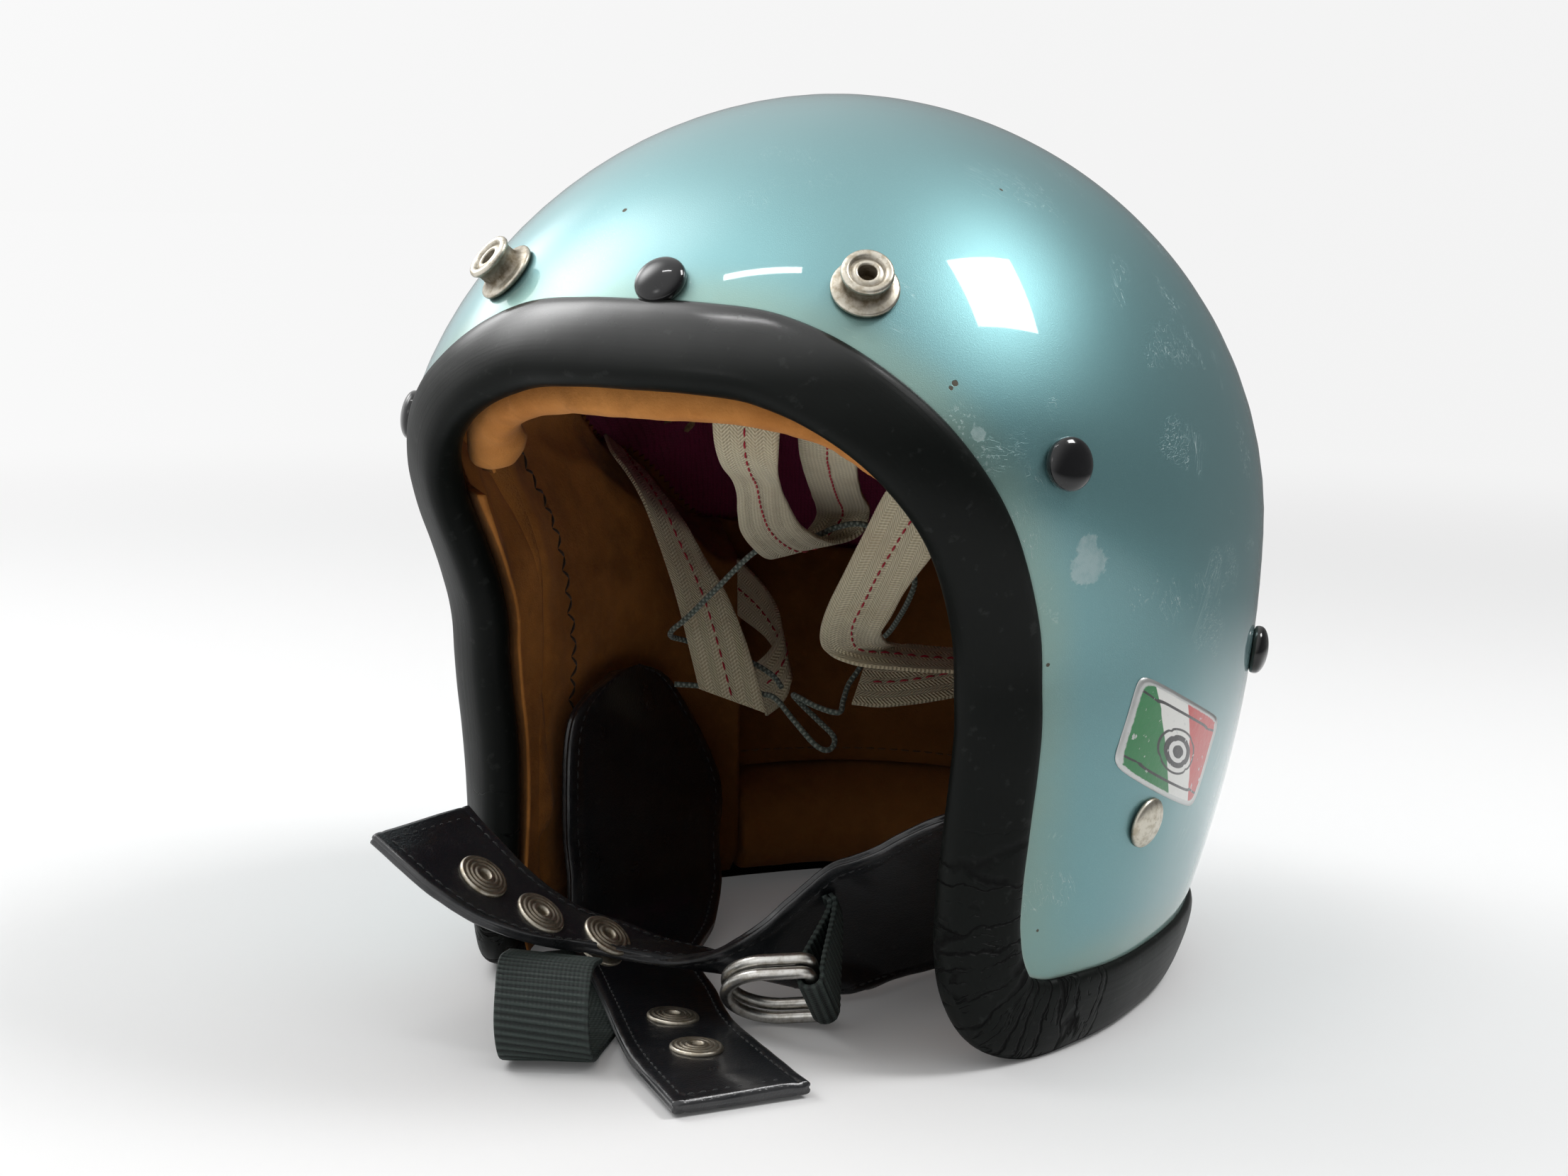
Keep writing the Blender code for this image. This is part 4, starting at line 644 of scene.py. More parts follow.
def suede_finish(name, deep, lit, grime=0.35):
    """Tan suede: nap, handling stains, grime, and painted shade that darkens it towards the nape."""
    f = Finish(name, sheen_weight=0.06, sheen_roughness=0.5, ior=1.3)
    cloud = f.noise(18.0, detail=5.0, roughness=0.6)
    nap = f.noise(1500.0, detail=3.0, roughness=0.7)
    brush = f.noise(210.0, detail=4.0, roughness=0.6, distortion=0.6)
    colour = f.blend(cloud.above(0.3, 0.7), deep, lit)
    colour = f.blend(brush.above(0.45, 0.75) * 0.22, colour, toned(lit, 1.3))
    stain = f.noise(33.0, detail=6.0, roughness=0.7).above(0.52, 0.68) * grime
    colour = f.blend(stain, colour, toned(deep, 0.35))
    colour = f.blend(nap.above(0.55, 0.8) * 0.25, colour, toned(deep, 0.45))
    # Painted shade: the colour darkens towards the back (+Y), standing in for the shade inside the nape.
    colour = f.blend(f.height("Y").above(-0.01, 0.07) * 0.6, colour, toned(deep, 0.3))
    relief = f.bump(nap, 0.00025, 0.7)
    relief = f.bump(f.noise(120.0, detail=4.0), 0.0009, 0.5, under=relief)
    return f.feed(base_color=colour, roughness=0.72 + cloud * 0.2, normal=relief)


def leather_finish():
    """Black bridle leather, polished by wear, with creases and paler worn edges."""
    f = Finish("black_leather", coat_weight=0.6, coat_roughness=0.14, ior=1.45)
    grain = f.borders(900.0)
    cloud = f.noise(55.0, detail=4.0)
    crease = f.noise(1.0, detail=3.0, at=f.place(scale=(230.0, 90.0, 230.0), turn=(0.0, 0.0, 0.7)))
    colour = f.blend(cloud, (0.006, 0.007, 0.009), (0.016, 0.018, 0.021))
    rubbed = f.mark("edge").above(0.55, 0.9) * f.noise(150.0).above(0.35, 0.6) * 0.4
    colour = f.blend(rubbed, colour, (0.045, 0.044, 0.046))
    scuff = f.noise(500.0, detail=3.0).above(0.62, 0.72) * 0.4
    colour = f.blend(scuff, colour, (0.05, 0.052, 0.052))
    rough = 0.22 + cloud * 0.16 + scuff * 0.3
    relief = f.bump(grain.above(0.0, 0.25), 0.00007, 0.5)
    relief = f.bump(crease, 0.0005, 0.3, under=relief)
    return f.feed(base_color=colour, roughness=rough, normal=relief)


def metal_finish(name, bright, dull, grime, shine=0.22):
    """Aged plating: dull patches, fine scratches and dark grime where it is deep."""
    f = Finish(name, metallic=1.0)
    patch = f.noise(420.0, detail=5.0, roughness=0.65)
    deep = f.mark("grime")
    line = f.hairlines((0.4, 0.9, 0.3), along=150.0, across=6000.0, thin=0.03, shown=0.45)
    colour = f.blend(patch.above(0.42, 0.68), bright, dull)
    colour = f.blend((deep * (0.55 + patch * 0.6)).clamp(), colour, grime)
    colour = f.blend(f.noise(1300.0).above(0.66, 0.74) * 0.6, colour, grime)
    rough = shine + patch * 0.22 + line * 0.15 + deep * 0.3
    return f.feed(base_color=colour, roughness=rough, normal=f.bump(patch, 0.00006, 0.5))


def enamel_finish():
    """Black lacquer on the dome caps, with dust and pin pits."""
    f = Finish("black_enamel", specular=0.15, coat_weight=0.75, coat_roughness=0.03)
    pit = f.cells(1500.0).above(0.12, 0.06) * f.noise(300.0).above(0.5, 0.6)
    colour = f.blend(pit, (0.006, 0.006, 0.007), (0.12, 0.12, 0.115))
    colour = f.blend(f.mark("grime") * 0.6, colour, (0.05, 0.048, 0.035))
    rough = 0.10 + f.noise(200.0) * 0.12 + pit * 0.3
    return f.feed(base_color=colour, roughness=rough, normal=f.bump(f.noise(260.0), 0.0002, 0.12))


def tape_finish():
    """Cream cotton tape in a herringbone weave, with stained edges."""
    f = Finish("cradle_tape", sheen_weight=0.2, sheen_roughness=0.6, ior=1.4)
    along, across = f.uv()
    chevron = abs(across.tooth(0.0052) - 0.5) * 0.0052
    weave = (along + chevron).wave(0.00115) * 0.7 + across.wave(0.0011) * 0.3
    stain = f.noise(70.0, detail=5.0).above(0.45, 0.75)
    colour = f.blend(weave, (0.35, 0.30, 0.185), (0.70, 0.63, 0.45))
    colour = f.blend(stain * 0.35, colour, (0.40, 0.31, 0.19))
    fray = f.mark("edge").above(0.6, 1.0) * 0.35
    colour = f.blend(fray, colour, (0.45, 0.37, 0.24))
    relief = f.bump(weave, 0.00035, 0.9)
    return f.feed(base_color=colour, roughness=0.85 + stain * 0.1, normal=relief)


def webbing_finish():
    """Dark green nylon webbing with dusty ribs, and painted shade in the troughs between them."""
    f = Finish("webbing", ior=1.45)
    along, across = f.uv()
    thread = across.wave(0.0012) * 0.5 + along.wave(0.0006) * 0.5
    rib = f.mark("rib")
    # Painted shade: near black in the troughs between the ribs, green on their crests.
    colour = f.blend(rib * 0.8 + thread * 0.2, (0.003, 0.005, 0.005), (0.046, 0.064, 0.057))
    dust = f.noise(140.0, detail=5.0).above(0.5, 0.75) * rib * 0.4
    colour = f.blend(dust, colour, (0.075, 0.090, 0.080))
    return f.feed(base_color=colour, roughness=0.55 + thread * 0.2, normal=f.bump(thread, 0.0002, 0.6))


def thread_finish(name, dark, light):
    """Twisted sewing thread."""
    f = Finish(name, sheen_weight=0.15, ior=1.4)
    along, across = f.uv()
    ply = (along + across * 1.2).wave(0.0007)
    colour = f.blend(ply * 0.7 + f.noise(600.0) * 0.3, dark, light)
    return f.feed(base_color=colour, roughness=0.75, normal=f.bump(ply, 0.00015, 0.7))


def lace_finish():
    """Grey-green lace, braided."""
    f = Finish("lace", sheen_weight=0.2, ior=1.4)
    along, across = f.uv()
    braid = (along + across * 0.55).wave(0.0017) * (along - across * 0.55).wave(0.0017)
    colour = f.blend(braid.above(0.0, 0.6), (0.075, 0.095, 0.08), (0.26, 0.30, 0.26))
    return f.feed(base_color=colour, roughness=0.8, normal=f.bump(braid, 0.0003, 0.8))


def cloth_finish():
    """Dark red crown cloth in a plain weave."""
    f = Finish("crown_cloth", sheen_weight=0.5, sheen_roughness=0.4, ior=1.4)
    weave = f.borders(1100.0, randomness=0.35)
    colour = f.blend(f.noise(25.0), (0.17, 0.012, 0.052), (0.30, 0.026, 0.095))
    colour = f.blend(weave.above(0.12, 0.0) * 0.5, colour, (0.04, 0.004, 0.014))
    return f.feed(base_color=colour, roughness=0.85, normal=f.bump(weave, 0.0003, 0.6))


def cork_finish():
    """Pressed cork granules."""
    f = Finish("liner_cork")
    grain = f.cells(420.0)
    colour = f.blend(f.noise(700.0), (0.20, 0.11, 0.05), (0.46, 0.31, 0.17))
    colour = f.blend(grain.above(0.4, 0.7) * 0.6, colour, (0.10, 0.05, 0.025))
    return f.feed(base_color=colour, roughness=0.9, normal=f.bump(grain, 0.0005, 0.7))


def label_finish():
    """A plain foil label: a silver border, and green, white and red fields round a dark disc."""
    f = Finish("label_print", coat_weight=0.6, coat_roughness=0.12)
    along, across = f.uv()
    half = LABEL_SIDE / 2.0
    ink = (0.02, 0.02, 0.022)
    x = along - half
    y = across - half
    rim = abs(x).most(abs(y))
    scuffed = f.noise(700.0, detail=4.0)
    border = (rim + (scuffed - 0.5) * 0.0006).above(half - 0.0021, half - 0.0017)
    slope = x + y * 0.45
    colour = f.blend((slope + 0.006).above(-0.0001, 0.0001), (0.012, 0.20, 0.055), (0.74, 0.74, 0.71))
    colour = f.blend((slope - 0.006).above(-0.0001, 0.0001), colour, (0.52, 0.035, 0.030))
    reach = vector_maths(f.tree, "LENGTH", f.join(x, y + 0.001))
    disc = reach.above(0.0061, 0.0058)
    ring = reach.above(0.0085, 0.0082) * reach.above(0.0074, 0.0077)
    colour = f.blend(disc.most(ring), colour, ink)
    inner = abs(reach - 0.0032).above(0.0009, 0.0007)
    colour = f.blend(inner, colour, (0.72, 0.72, 0.70))
    stripe = abs(abs(y) - 0.0128).above(0.0006, 0.0004)
    colour = f.blend(stripe, colour, ink)
    foil = border.most(f.noise(380.0, detail=5.0).above(0.63, 0.69) * 0.9).clamp()
    colour = f.blend(foil, colour, (0.62, 0.63, 0.62))
    colour = f.blend(f.noise(900.0).above(0.6, 0.8) * 0.3, colour, (0.20, 0.21, 0.19))
    relief = f.bump(f.noise(420.0, detail=3.0), 0.0003, 0.5)
    return f.feed(base_color=colour, metallic=foil * 0.9, roughness=0.32 + foil * 0.12, normal=relief)


def floor_finish():
    """White card that runs into the pale background."""
    f = Finish("floor_card", base_color=(0.86, 0.86, 0.86), roughness=0.55, specular=0.25)
    place = f.place()
    reach = vector_maths(f.tree, "LENGTH", place)
    glossy, seen = rays(f.tree)
    way = vector_maths(f.tree, "NORMALIZE", vector_maths(f.tree, "SUBTRACT", place, HUB))
    bright = room_light(f.tree, way)
    pale = f.blend(bright, (ROOM_SEEN[0],) * 3, (ROOM_SEEN[1],) * 3)
    mirrored = f.blend(bright, (ROOM_MIRRORED[0],) * 3, (ROOM_MIRRORED[1],) * 3)
    glow = f.node("Emission", Color=f.blend(glossy, pale, mirrored))
    far = (reach.above(0.45, 1.5) * seen).most(reach.above(0.24, 0.75) * glossy)
    card = Wire(f.tree, f.shader.outputs[0])
    mix = add_node(f.tree, "MixShader", {}, {0: (FLOOR_LIFT * seen).most(far), 1: card, 2: glow})
    plug(f.tree, f.tree.nodes["Material Output"].inputs[0], mix)
    return f


FINISHES = {
    "paint": paint_finish(),
    "rubber": rubber_finish(),
    "suede": suede_finish("suede", (0.26, 0.095, 0.016), (0.52, 0.205, 0.045)),
    # Painted light: the padded rolls take a lighter copy of the suede's colours, standing in for the light
    # that falls on them.
    "suede_painted_lit": suede_finish("suede_painted_lit", (0.42, 0.155, 0.030), (0.66, 0.285, 0.075), grime=0.25),
    "leather": leather_finish(),
    "nickel": metal_finish("aged_nickel", (0.66, 0.62, 0.53), (0.44, 0.39, 0.30), (0.09, 0.065, 0.035)),
    "steel": metal_finish("ring_steel", (0.62, 0.61, 0.58), (0.42, 0.40, 0.36), (0.12, 0.09, 0.06), 0.2),
    "enamel": enamel_finish(),
    "tape": tape_finish(),
    "webbing": webbing_finish(),
    "lace": lace_finish(),
    "cloth": cloth_finish(),
    "cork": cork_finish(),
    "label": label_finish(),
    "red_thread": thread_finish("red_thread", (0.20, 0.004, 0.012), (0.52, 0.012, 0.035)),
    "tan_thread": thread_finish("tan_thread", (0.10, 0.045, 0.016), (0.24, 0.115, 0.040)),
    "brown_thread": thread_finish("brown_thread", (0.018, 0.009, 0.003), (0.055, 0.026, 0.009)),
    "dark_thread": thread_finish("dark_thread", (0.010, 0.011, 0.012), (0.040, 0.042, 0.042)),
}


# Places on the shell


def skin(direction, depth):
    base = shell_point(direction)
    return base - shell_normal(base) * depth


def wall_radius(azimuth, height):
    """How far the paint is from the vertical axis."""
    turn = math.radians(azimuth)
    side, reach = side_reaches(height, math.cos(turn) > 0.0)
    rise = max(height - EQUATOR_HEIGHT, 0.0) / (SHELL_HEIGHT - EQUATOR_HEIGHT)
    left = max(1.0 - rise**CROWN_POWER, 0.0) ** (PLAN_POWER / CROWN_POWER)
    spread = (abs(math.sin(turn)) / side) ** PLAN_POWER + (abs(math.cos(turn)) / reach) ** PLAN_POWER
    return (left / spread) ** (1.0 / PLAN_POWER)


def round_point(azimuth, height, radius):
    turn = math.radians(azimuth)
    return Vector((math.sin(turn) * radius, -math.cos(turn) * radius, height))


def paint_point(shares):
    azimuth, share = shares
    height = share * SHELL_HEIGHT
    return round_point(azimuth, height, wall_radius(azimuth, height))


def inward(azimuth, height, depth):
    """How far from the vertical axis a wall lies at a depth under the paint."""
    radius = wall_radius(azimuth, height)
    point = round_point(azimuth, height, radius)
    return radius - depth / shell_normal(point).dot(round_point(azimuth, 0.0, 1.0))


# Curves and grids


def circle(steps):
    """The cosines and sines of equal turns round a circle."""
    turns = [2.0 * math.pi * k / steps for k in range(steps)]
    return [(math.cos(turn), math.sin(turn)) for turn in turns]


def arc(middle, radius, angles):
    """Points round a middle, at angles in degrees."""
    x, y = middle
    turns = [math.radians(angle) for angle in angles]
    return [(x + radius * math.cos(turn), y + radius * math.sin(turn)) for turn in turns]


def dome(radius, rise, foot, steps):
    """A quarter round from the top down, as radius and height in millimetres."""
    turns = [math.pi / 2.0 * k / steps for k in range(steps + 1)]
    return [(radius * math.sin(turn), foot + rise * math.cos(turn)) for turn in turns]


def spline(points, share):
    spans = len(points) - 1
    place_on = min(max(share, 0.0), 1.0) * spans
    index = min(int(place_on), spans - 1)
    t = place_on - index
    b, c = points[index], points[index + 1]
    a = points[index - 1] if index > 0 else b * 2.0 - c
    d = points[index + 2] if index + 2 <= spans else c * 2.0 - b
    return (
        b * 2.0
        + (c - a) * t
        + (a * 2.0 - b * 5.0 + c * 4.0 - d) * t**2
        + (b * 3.0 - a - c * 3.0 + d) * t**3
    ) * 0.5


def even_points(points, count, fine=1200):
    """Points at equal steps along the smooth curve through the given ones."""
    dense = [spline(points, i / fine) for i in range(fine + 1)]
    run = [0.0]
    for i in range(fine):
        run.append(run[-1] + (dense[i + 1] - dense[i]).length)
    found = []
    index = 0
    for k in range(count):
        target = run[-1] * k / (count - 1)
        while index < fine - 1 and run[index + 1] < target:
            index += 1
        step = run[index + 1] - run[index]
        found.append(dense[index].lerp(dense[index + 1], (target - run[index]) / step if step else 0.0))
    return found


def metres(points):
    return [Vector(p) * MM for p in points]


def add_piece(name, mesh, finish):
    mesh.materials.append(FINISHES[finish].material)
    mesh.shade_smooth()
    thing = bpy.data.objects.new(name, mesh)
    bpy.context.scene.collection.objects.link(thing)
    return thing


def lay(name, rows, finish, round_along=False, round_across=False, caps=False, uv=None, marks=None):
    """A mesh through rows of points. Marks are numbers for each point, by name."""
    count, columns = len(rows), len(rows[0])
    mesh = bpy.data.meshes.new(name)
    faces = []
    corners = []
    for r in range(count if round_along else count - 1):
        for c in range(columns if round_across else columns - 1):
            square = ((r, c), (r, c + 1), (r + 1, c + 1), (r + 1, c))
            faces.append([(i % count) * columns + j % columns for i, j in square])
            corners += square
    if caps:
        faces.append(list(range(columns))[::-1])
        corners += [(0, c) for c in range(columns)][::-1]
        faces.append([(count - 1) * columns + c for c in range(columns)])
        corners += [(count - 1, c) for c in range(columns)]
    mesh.from_pydata([tuple(p) for row in rows for p in row], [], faces)
    if uv:
        layer = mesh.uv_layers.new(name="UVMap")
        for loop, (r, c) in zip(layer.data, corners):
            loop.uv = uv(r, c)
    for mark, value in (marks or {}).items():
        data = mesh.attributes.new(mark, "FLOAT", "POINT").data
        for r in range(count):
            for c in range(columns):
                data[r * columns + c].value = value(r, c)
    return add_piece(name, mesh, finish)


def change_mesh(thing, change):
    mesh = bmesh.new()
    mesh.from_mesh(thing.data)
    change(mesh)
    mesh.to_mesh(thing.data)
    mesh.free()


def face_outward(thing):
    change_mesh(thing, lambda mesh: bmesh.ops.recalc_face_normals(mesh, faces=mesh.faces))


def merge(thing):
    """Joins the points that lie on one another."""
    change_mesh(thing, lambda mesh: bmesh.ops.remove_doubles(mesh, verts=mesh.verts, dist=MERGE_GAP))


def thicken(thing, thickness, offset=0.0):
    wall = thing.modifiers.new("wall", "SOLIDIFY")
    wall.thickness = thickness
    wall.offset = offset


def settle(thing, body, slot, *nodes):
    """The piece rides on a body, in place of the nodes. The slot is not used."""
    face_outward(thing)
    if nodes:
        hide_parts(*nodes)
    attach(thing, body)
    return thing


def frame_at(origin, z_axis, x_hint=Vector((0.0, 0.0, 1.0))):
    z = z_axis.normalized()
    x = (x_hint - z * x_hint.dot(z)).normalized()
    return Matrix.Translation(origin) @ Matrix((x, z.cross(x), z)).transposed().to_4x4()


def lathe(name, outline, place_at, finish, grime, steps=48):
    """A turned piece: its outline is radius and height in millimetres, from the top down."""
    rows = []
    for radius, height in outline:
        level = [Vector((x * radius, y * radius, height)) for x, y in circle(steps)]
        rows.append([place_at @ (point * MM) for point in level])
    thing = lay(name, rows, finish, round_across=True, marks={"grime": lambda r, c: grime[r]})
    merge(thing)
    return thing


def tube(name, points, radius, sides, finish, closed=False):
    """A round bar along points, with its ends closed."""
    count = len(points)
    rows = []
    run = [0.0]
    across = None
    for i, point in enumerate(points):
        before = points[i - 1] if closed or i > 0 else points[0]
        after = points[(i + 1) % count] if closed or i < count - 1 else points[-1]
        way = (after - before).normalized()
        across = way.orthogonal() if across is None else across
        across = (across - way * across.dot(way)).normalized()
        up = way.cross(across)
        rows.append([point + (across * x + up * y) * radius for x, y in circle(sides)])
        run.append(run[-1] + (points[(i + 1) % count] - point).length)
    around = 2.0 * math.pi * radius / sides

    def uv(r, c):
        return run[r], around * c

    return lay(name, rows, finish, round_along=closed, round_across=True, caps=not closed, uv=uv)


def swell(point, scale, seed=0.0):
    """Smooth noise from -1 to 1 at a place, with its waves a length apart."""
    return noise.noise(point / scale + Vector((seed, seed * 1.7, -seed)))


def stitch_line(name, places, thread, body, slot):
    """Sewn thread: places are points and normals along the seam."""
    length, gap, radius, sway = SEWING[thread]
    run = [0.0]
    for (a, _), (b, _) in zip(places, places[1:]):
        run.append(run[-1] + (b - a).length)

    def at(distance):
        distance = min(max(distance, 0.0), run[-1])
        i = max(k for k, value in enumerate(run) if value <= distance + 1e-9)
        i = min(i, len(places) - 2)
        t = (distance - run[i]) / max(run[i + 1] - run[i], 1e-9)
        (a, na), (b, nb) = places[i], places[i + 1]
        way = (b - a).normalized()
        normal = na.lerp(nb, t).normalized()
        return a.lerp(b, t), normal, normal.cross(way).normalized()

    verts, faces, uvs = [], [], []
    sides, rings = 6, 5
    where, side = 0.0, 1.0
    while where + length <= run[-1]:
        start, n0, s0 = at(where)
        end, n1, s1 = at(where + length)
        start += s0 * (sway * side)
        end -= s1 * (sway * side)
        side = -side
        way = (end - start).normalized()
        base = len(verts)
        for r in range(rings):
            t = r / (rings - 1)
            normal = n0.lerp(n1, t).normalized()
            across = normal.cross(way).normalized()
            bulge = math.sin(math.pi * t)
            centre = start.lerp(end, t) + normal * (radius * (bulge * 1.1 - 0.55))
            size = radius * (0.55 + 0.45 * bulge)
            for k, (x, y) in enumerate(circle(sides)):
                verts.append(centre + (across * x + normal * y) * size)
                uvs.append((length * t, 2.0 * math.pi * radius * k / sides))
        for low in range(base, base + (rings - 1) * sides, sides):
            for k in range(sides):
                j = (k + 1) % sides
                faces.append([low + k, low + j, low + sides + j, low + sides + k])
        faces.append([base + k for k in range(sides)][::-1])
        faces.append([base + (rings - 1) * sides + k for k in range(sides)])
        where += length + gap
    mesh = bpy.data.meshes.new(name)
    mesh.from_pydata([tuple(v) for v in verts], [], faces)
    layer = mesh.uv_layers.new(name="UVMap")
    for polygon in mesh.polygons:
        for loop in polygon.loop_indices:
            layer.data[loop].uv = uvs[mesh.loops[loop].vertex_index]
    return settle(add_piece(name, mesh, thread), body, slot)


# Shell, rubber edge and studs


def rim_stations(count):
    """Evenly spaced places round the rim: point, way up the shell, distance along."""
    guide = []
    for azimuth, share in RIM_SHARES:
        height = RIM_FOOT + share * SHELL_HEIGHT
        guide.append(round_point(azimuth, height, wall_radius(azimuth, height)))
    half = even_points(guide, count // 2 + 1)
    half = [shell_point((p - HUB).normalized()) for p in half]
    half[0].x = half[-1].x = 0.0
    ring = half + [Vector((-p.x, p.y, p.z)) for p in half[-2:0:-1]]
    stations = []
    run = 0.0
    for i, point in enumerate(ring):
        along = (ring[(i + 1) % count] - ring[i - 1]).normalized()
        up = shell_normal(point).cross(along).normalized()
        if up.dot(POLE) < 0.0:
            up.negate()
        stations.append((point, up, run))
        run += (ring[(i + 1) % count] - point).length
    return stations, run


def off_rim(station, up_shell, off_paint):
    point, up, _ = station
    base = shell_point((point + up * up_shell - HUB).normalized())
    return base + shell_normal(base) * off_paint


STATIONS, RIM_LENGTH = rim_stations(RIM_STATIONS)


def crown_rings(stations, depth, shares):
    band = [(off_rim(station, RIM_BAND, 0.0) - HUB).normalized() for station in stations]
    return [[skin(way.slerp(POLE, share), depth) for way in band] for share in shares]


def cap_dome(rows, tip):
    """Closes a dome's rows over one point, which the last row gathers on."""
    return rows + [[tip] * len(rows[0])]


def make_shell():
    stations = STATIONS[::2]
    ups = [RIM_BAND * k / SHELL_BAND_ROWS for k in range(SHELL_BAND_ROWS)]
    shares = [k / SHELL_ROWS for k in range(SHELL_ROWS)]
    rows = [[off_rim(station, up, 0.0) for station in stations] for up in ups]
    rows = cap_dome(rows + crown_rings(stations, 0.0, shares), skin(POLE, 0.0))
    height = ups + [RIM_BAND + share * 0.16 for share in shares] + [1.0]

    def off_trim(r, c):
        return max(height[r] - TRIM_LEG, 0.0)

    shell = lay("painted_shell", rows, "paint", round_across=True, marks={"off_trim": off_trim})
    merge(shell)
    settle(shell, "helmet", "shell_paint", "outer_shell")
    thicken(shell, SHELL_WALL, -1.0)


def make_rubber_edge():
    outline = [Vector((up, out)) for up, out in TRIM_OUTLINE]
    shown = [spline(outline, k / TRIM_STEPS) for k in range(TRIM_STEPS + 1)]
    outline = shown + [Vector(p) for p in TRIM_SLOT]
    around = [0.0]
    for a, b in zip(outline, outline[1:]):
        around.append(around[-1] + (b - a).length * MM)
    around.append(around[-1])
    rows = []
    for station in STATIONS:
        row = []
        for up, out in outline:
            point = off_rim(station, up * MM, out * MM)
            ripple = swell(point, 30.0 * MM, 3.0) * 0.25 * MM + swell(point, 9.0 * MM, 5.0) * 0.08 * MM
            if 2 < len(row) < TRIM_STEPS - 2:
                point += shell_normal(point) * ripple
            point.z = max(point.z, 0.0)
            row.append(point)
        rows.append(row)
    run = [s[2] for s in STATIONS] + [RIM_LENGTH]

    def uv(r, c):
        return run[r], around[c]

    def cracked(r, c):
        point = rows[r][c]
        front = soft_step(point.y, -12.0 * MM, -48.0 * MM)
        low = soft_step(point.z, 92.0 * MM, 34.0 * MM)
        corner = soft_step(point.z, 42.0 * MM, 10.0 * MM)
        left = 1.0 if point.x > 0.0 else 0.7
        return 0.15 + 0.85 * front * min(low * 0.55 + corner * 0.45, 1.0) * left

    marks = {"cracked": cracked}
    edge = lay("rubber_edging", rows, "rubber", round_along=True, round_across=True, uv=uv, marks=marks)
    settle(edge, "helmet", "edge_rubber", "edge_trim")


def make_dome_caps():
    outline = dome(7.1, 3.1, 1.7, 12)
    outline += [(7.15, 1.2), (7.05, 0.6), (6.7, 0.1), (5.5, -0.2), (2.3, -0.2), (2.3, -5.8), (0.0, -5.8)]
    grime = [0.0] * 12 + [0.15, 0.4, 0.8] + [1.0] * 5
    for name, shares in DOME_SHARES.items():
        point = paint_point(shares)
        cap = lathe("dome_cap_" + name, outline, frame_at(point, shell_normal(point)), "enamel", grime)
        settle(cap, "helmet", "black_enamel", "dome_rivet_" + name)


def make_visor_studs():
    outline = [
        (0.0, 2.9), (2.0, 2.9), (2.4, 3.2), (2.4, 7.4), (2.55, 7.8), (2.9, 7.95), (3.4, 7.9), (4.0, 7.6),
        (4.35, 7.5), (4.6, 7.8), (4.9, 8.35), (5.3, 8.5), (6.1, 8.5), (6.6, 8.3), (6.85, 7.8), (6.85, 7.2),
        (6.5, 6.7), (5.95, 6.2), (5.85, 5.0), (5.9, 3.4), (6.3, 2.5), (7.2, 1.95), (8.4, 1.7), (8.9, 1.4),
        (9.0, 1.0), (8.9, 0.5), (8.5, 0.1), (7.5, -0.2), (2.3, -0.2), (2.3, -5.8), (0.0, -5.8),
    ]
    grime = [1.0, 1.0, 1.0, 0.7, 0.2, 0.0, 0.1, 0.5, 0.8, 0.4, 0.0, 0.0, 0.0, 0.0, 0.1, 0.3, 0.6, 0.8, 0.9,
             1.0, 0.8, 0.5, 0.2, 0.1, 0.3, 0.8, 1.0, 1.0, 1.0, 1.0, 1.0]
    azimuth, share = VISOR_STUD_SHARES
    for name, side in (("left", 1.0), ("right", -1.0)):
        point = paint_point((azimuth * side, share))
        place_at = frame_at(point, shell_normal(point))
        stud = lathe("press_stud_" + name, outline, place_at, "nickel", grime, steps=64)
        settle(stud, "helmet", "aged_nickel", "visor_stud_" + name)


def make_strap_rivets():
    outline = dome(7.2, 1.9, 0.7, 10)
    outline += [(7.2, 0.2), (6.8, -0.1), (2.3, -0.1), (2.3, -40.6), (0.0, -40.6)]
    grime = [0.0] * 9 + [0.1, 0.3, 0.7] + [1.0] * 4
    azimuth, share = STRAP_RIVET_SHARES
    for name, side in (("left", 1.0), ("right", -1.0)):
        way = Vector((STRAP_RIVET_WAY.x * side, STRAP_RIVET_WAY.y, STRAP_RIVET_WAY.z))
        seat = paint_point((azimuth * side, share)) - way * STRAP_RIVET_SINK
        rivet = lathe("strap_rivet_head_" + name, outline, frame_at(seat, way), "nickel", grime)
        settle(rivet, "helmet", "aged_nickel", "strap_rivet_" + name)


def make_label():
    """A square label laid on the shell, its edges a little uneven."""
    corners = [paint_under(pixel) for pixel in LABEL_PIXELS]
    middle = sum(corners, Vector()) / 4.0
    rows = []
    for r in range(LABEL_STEPS + 1):
        v = r / LABEL_STEPS
        left = corners[0].lerp(corners[3], v)
        right = corners[1].lerp(corners[2], v)
        row = []
        for c in range(LABEL_STEPS + 1):
            u = c / LABEL_STEPS
            x, y = abs(u - 0.5) * 2.0, abs(v - 0.5) * 2.0
            round_off = max(x, y) / max((x**10 + y**10) ** 0.1, 1e-6)
            point = middle.lerp(left.lerp(right, u), round_off)
            base = shell_point((point - HUB).normalized())
            lift = 0.16 + 0.10 * swell(base, 7.0 * MM, 2.0)
            row.append(base + shell_normal(point) * lift * MM)
        rows.append(row)

    def uv(r, c):
        return LABEL_SIDE * c / LABEL_STEPS, LABEL_SIDE * (1.0 - r / LABEL_STEPS)

    label = lay("foil_label", rows, "label", uv=uv)
    thicken(label, 0.15 * MM, -1.0)
    settle(label, "helmet", "shell_paint")
    if label.data.polygons[0].normal.dot(shell_normal(rows[0][0])) < 0.0:
        label.data.flip_normals()


# Linings


def share_line(table, azimuth):
    at = abs(azimuth)
    for (a, low), (b, high) in zip(table, table[1:]):
        if at <= b:
            return (low + (high - low) * soft_step(at, a, b)) * SHELL_HEIGHT
    return table[-1][1] * SHELL_HEIGHT


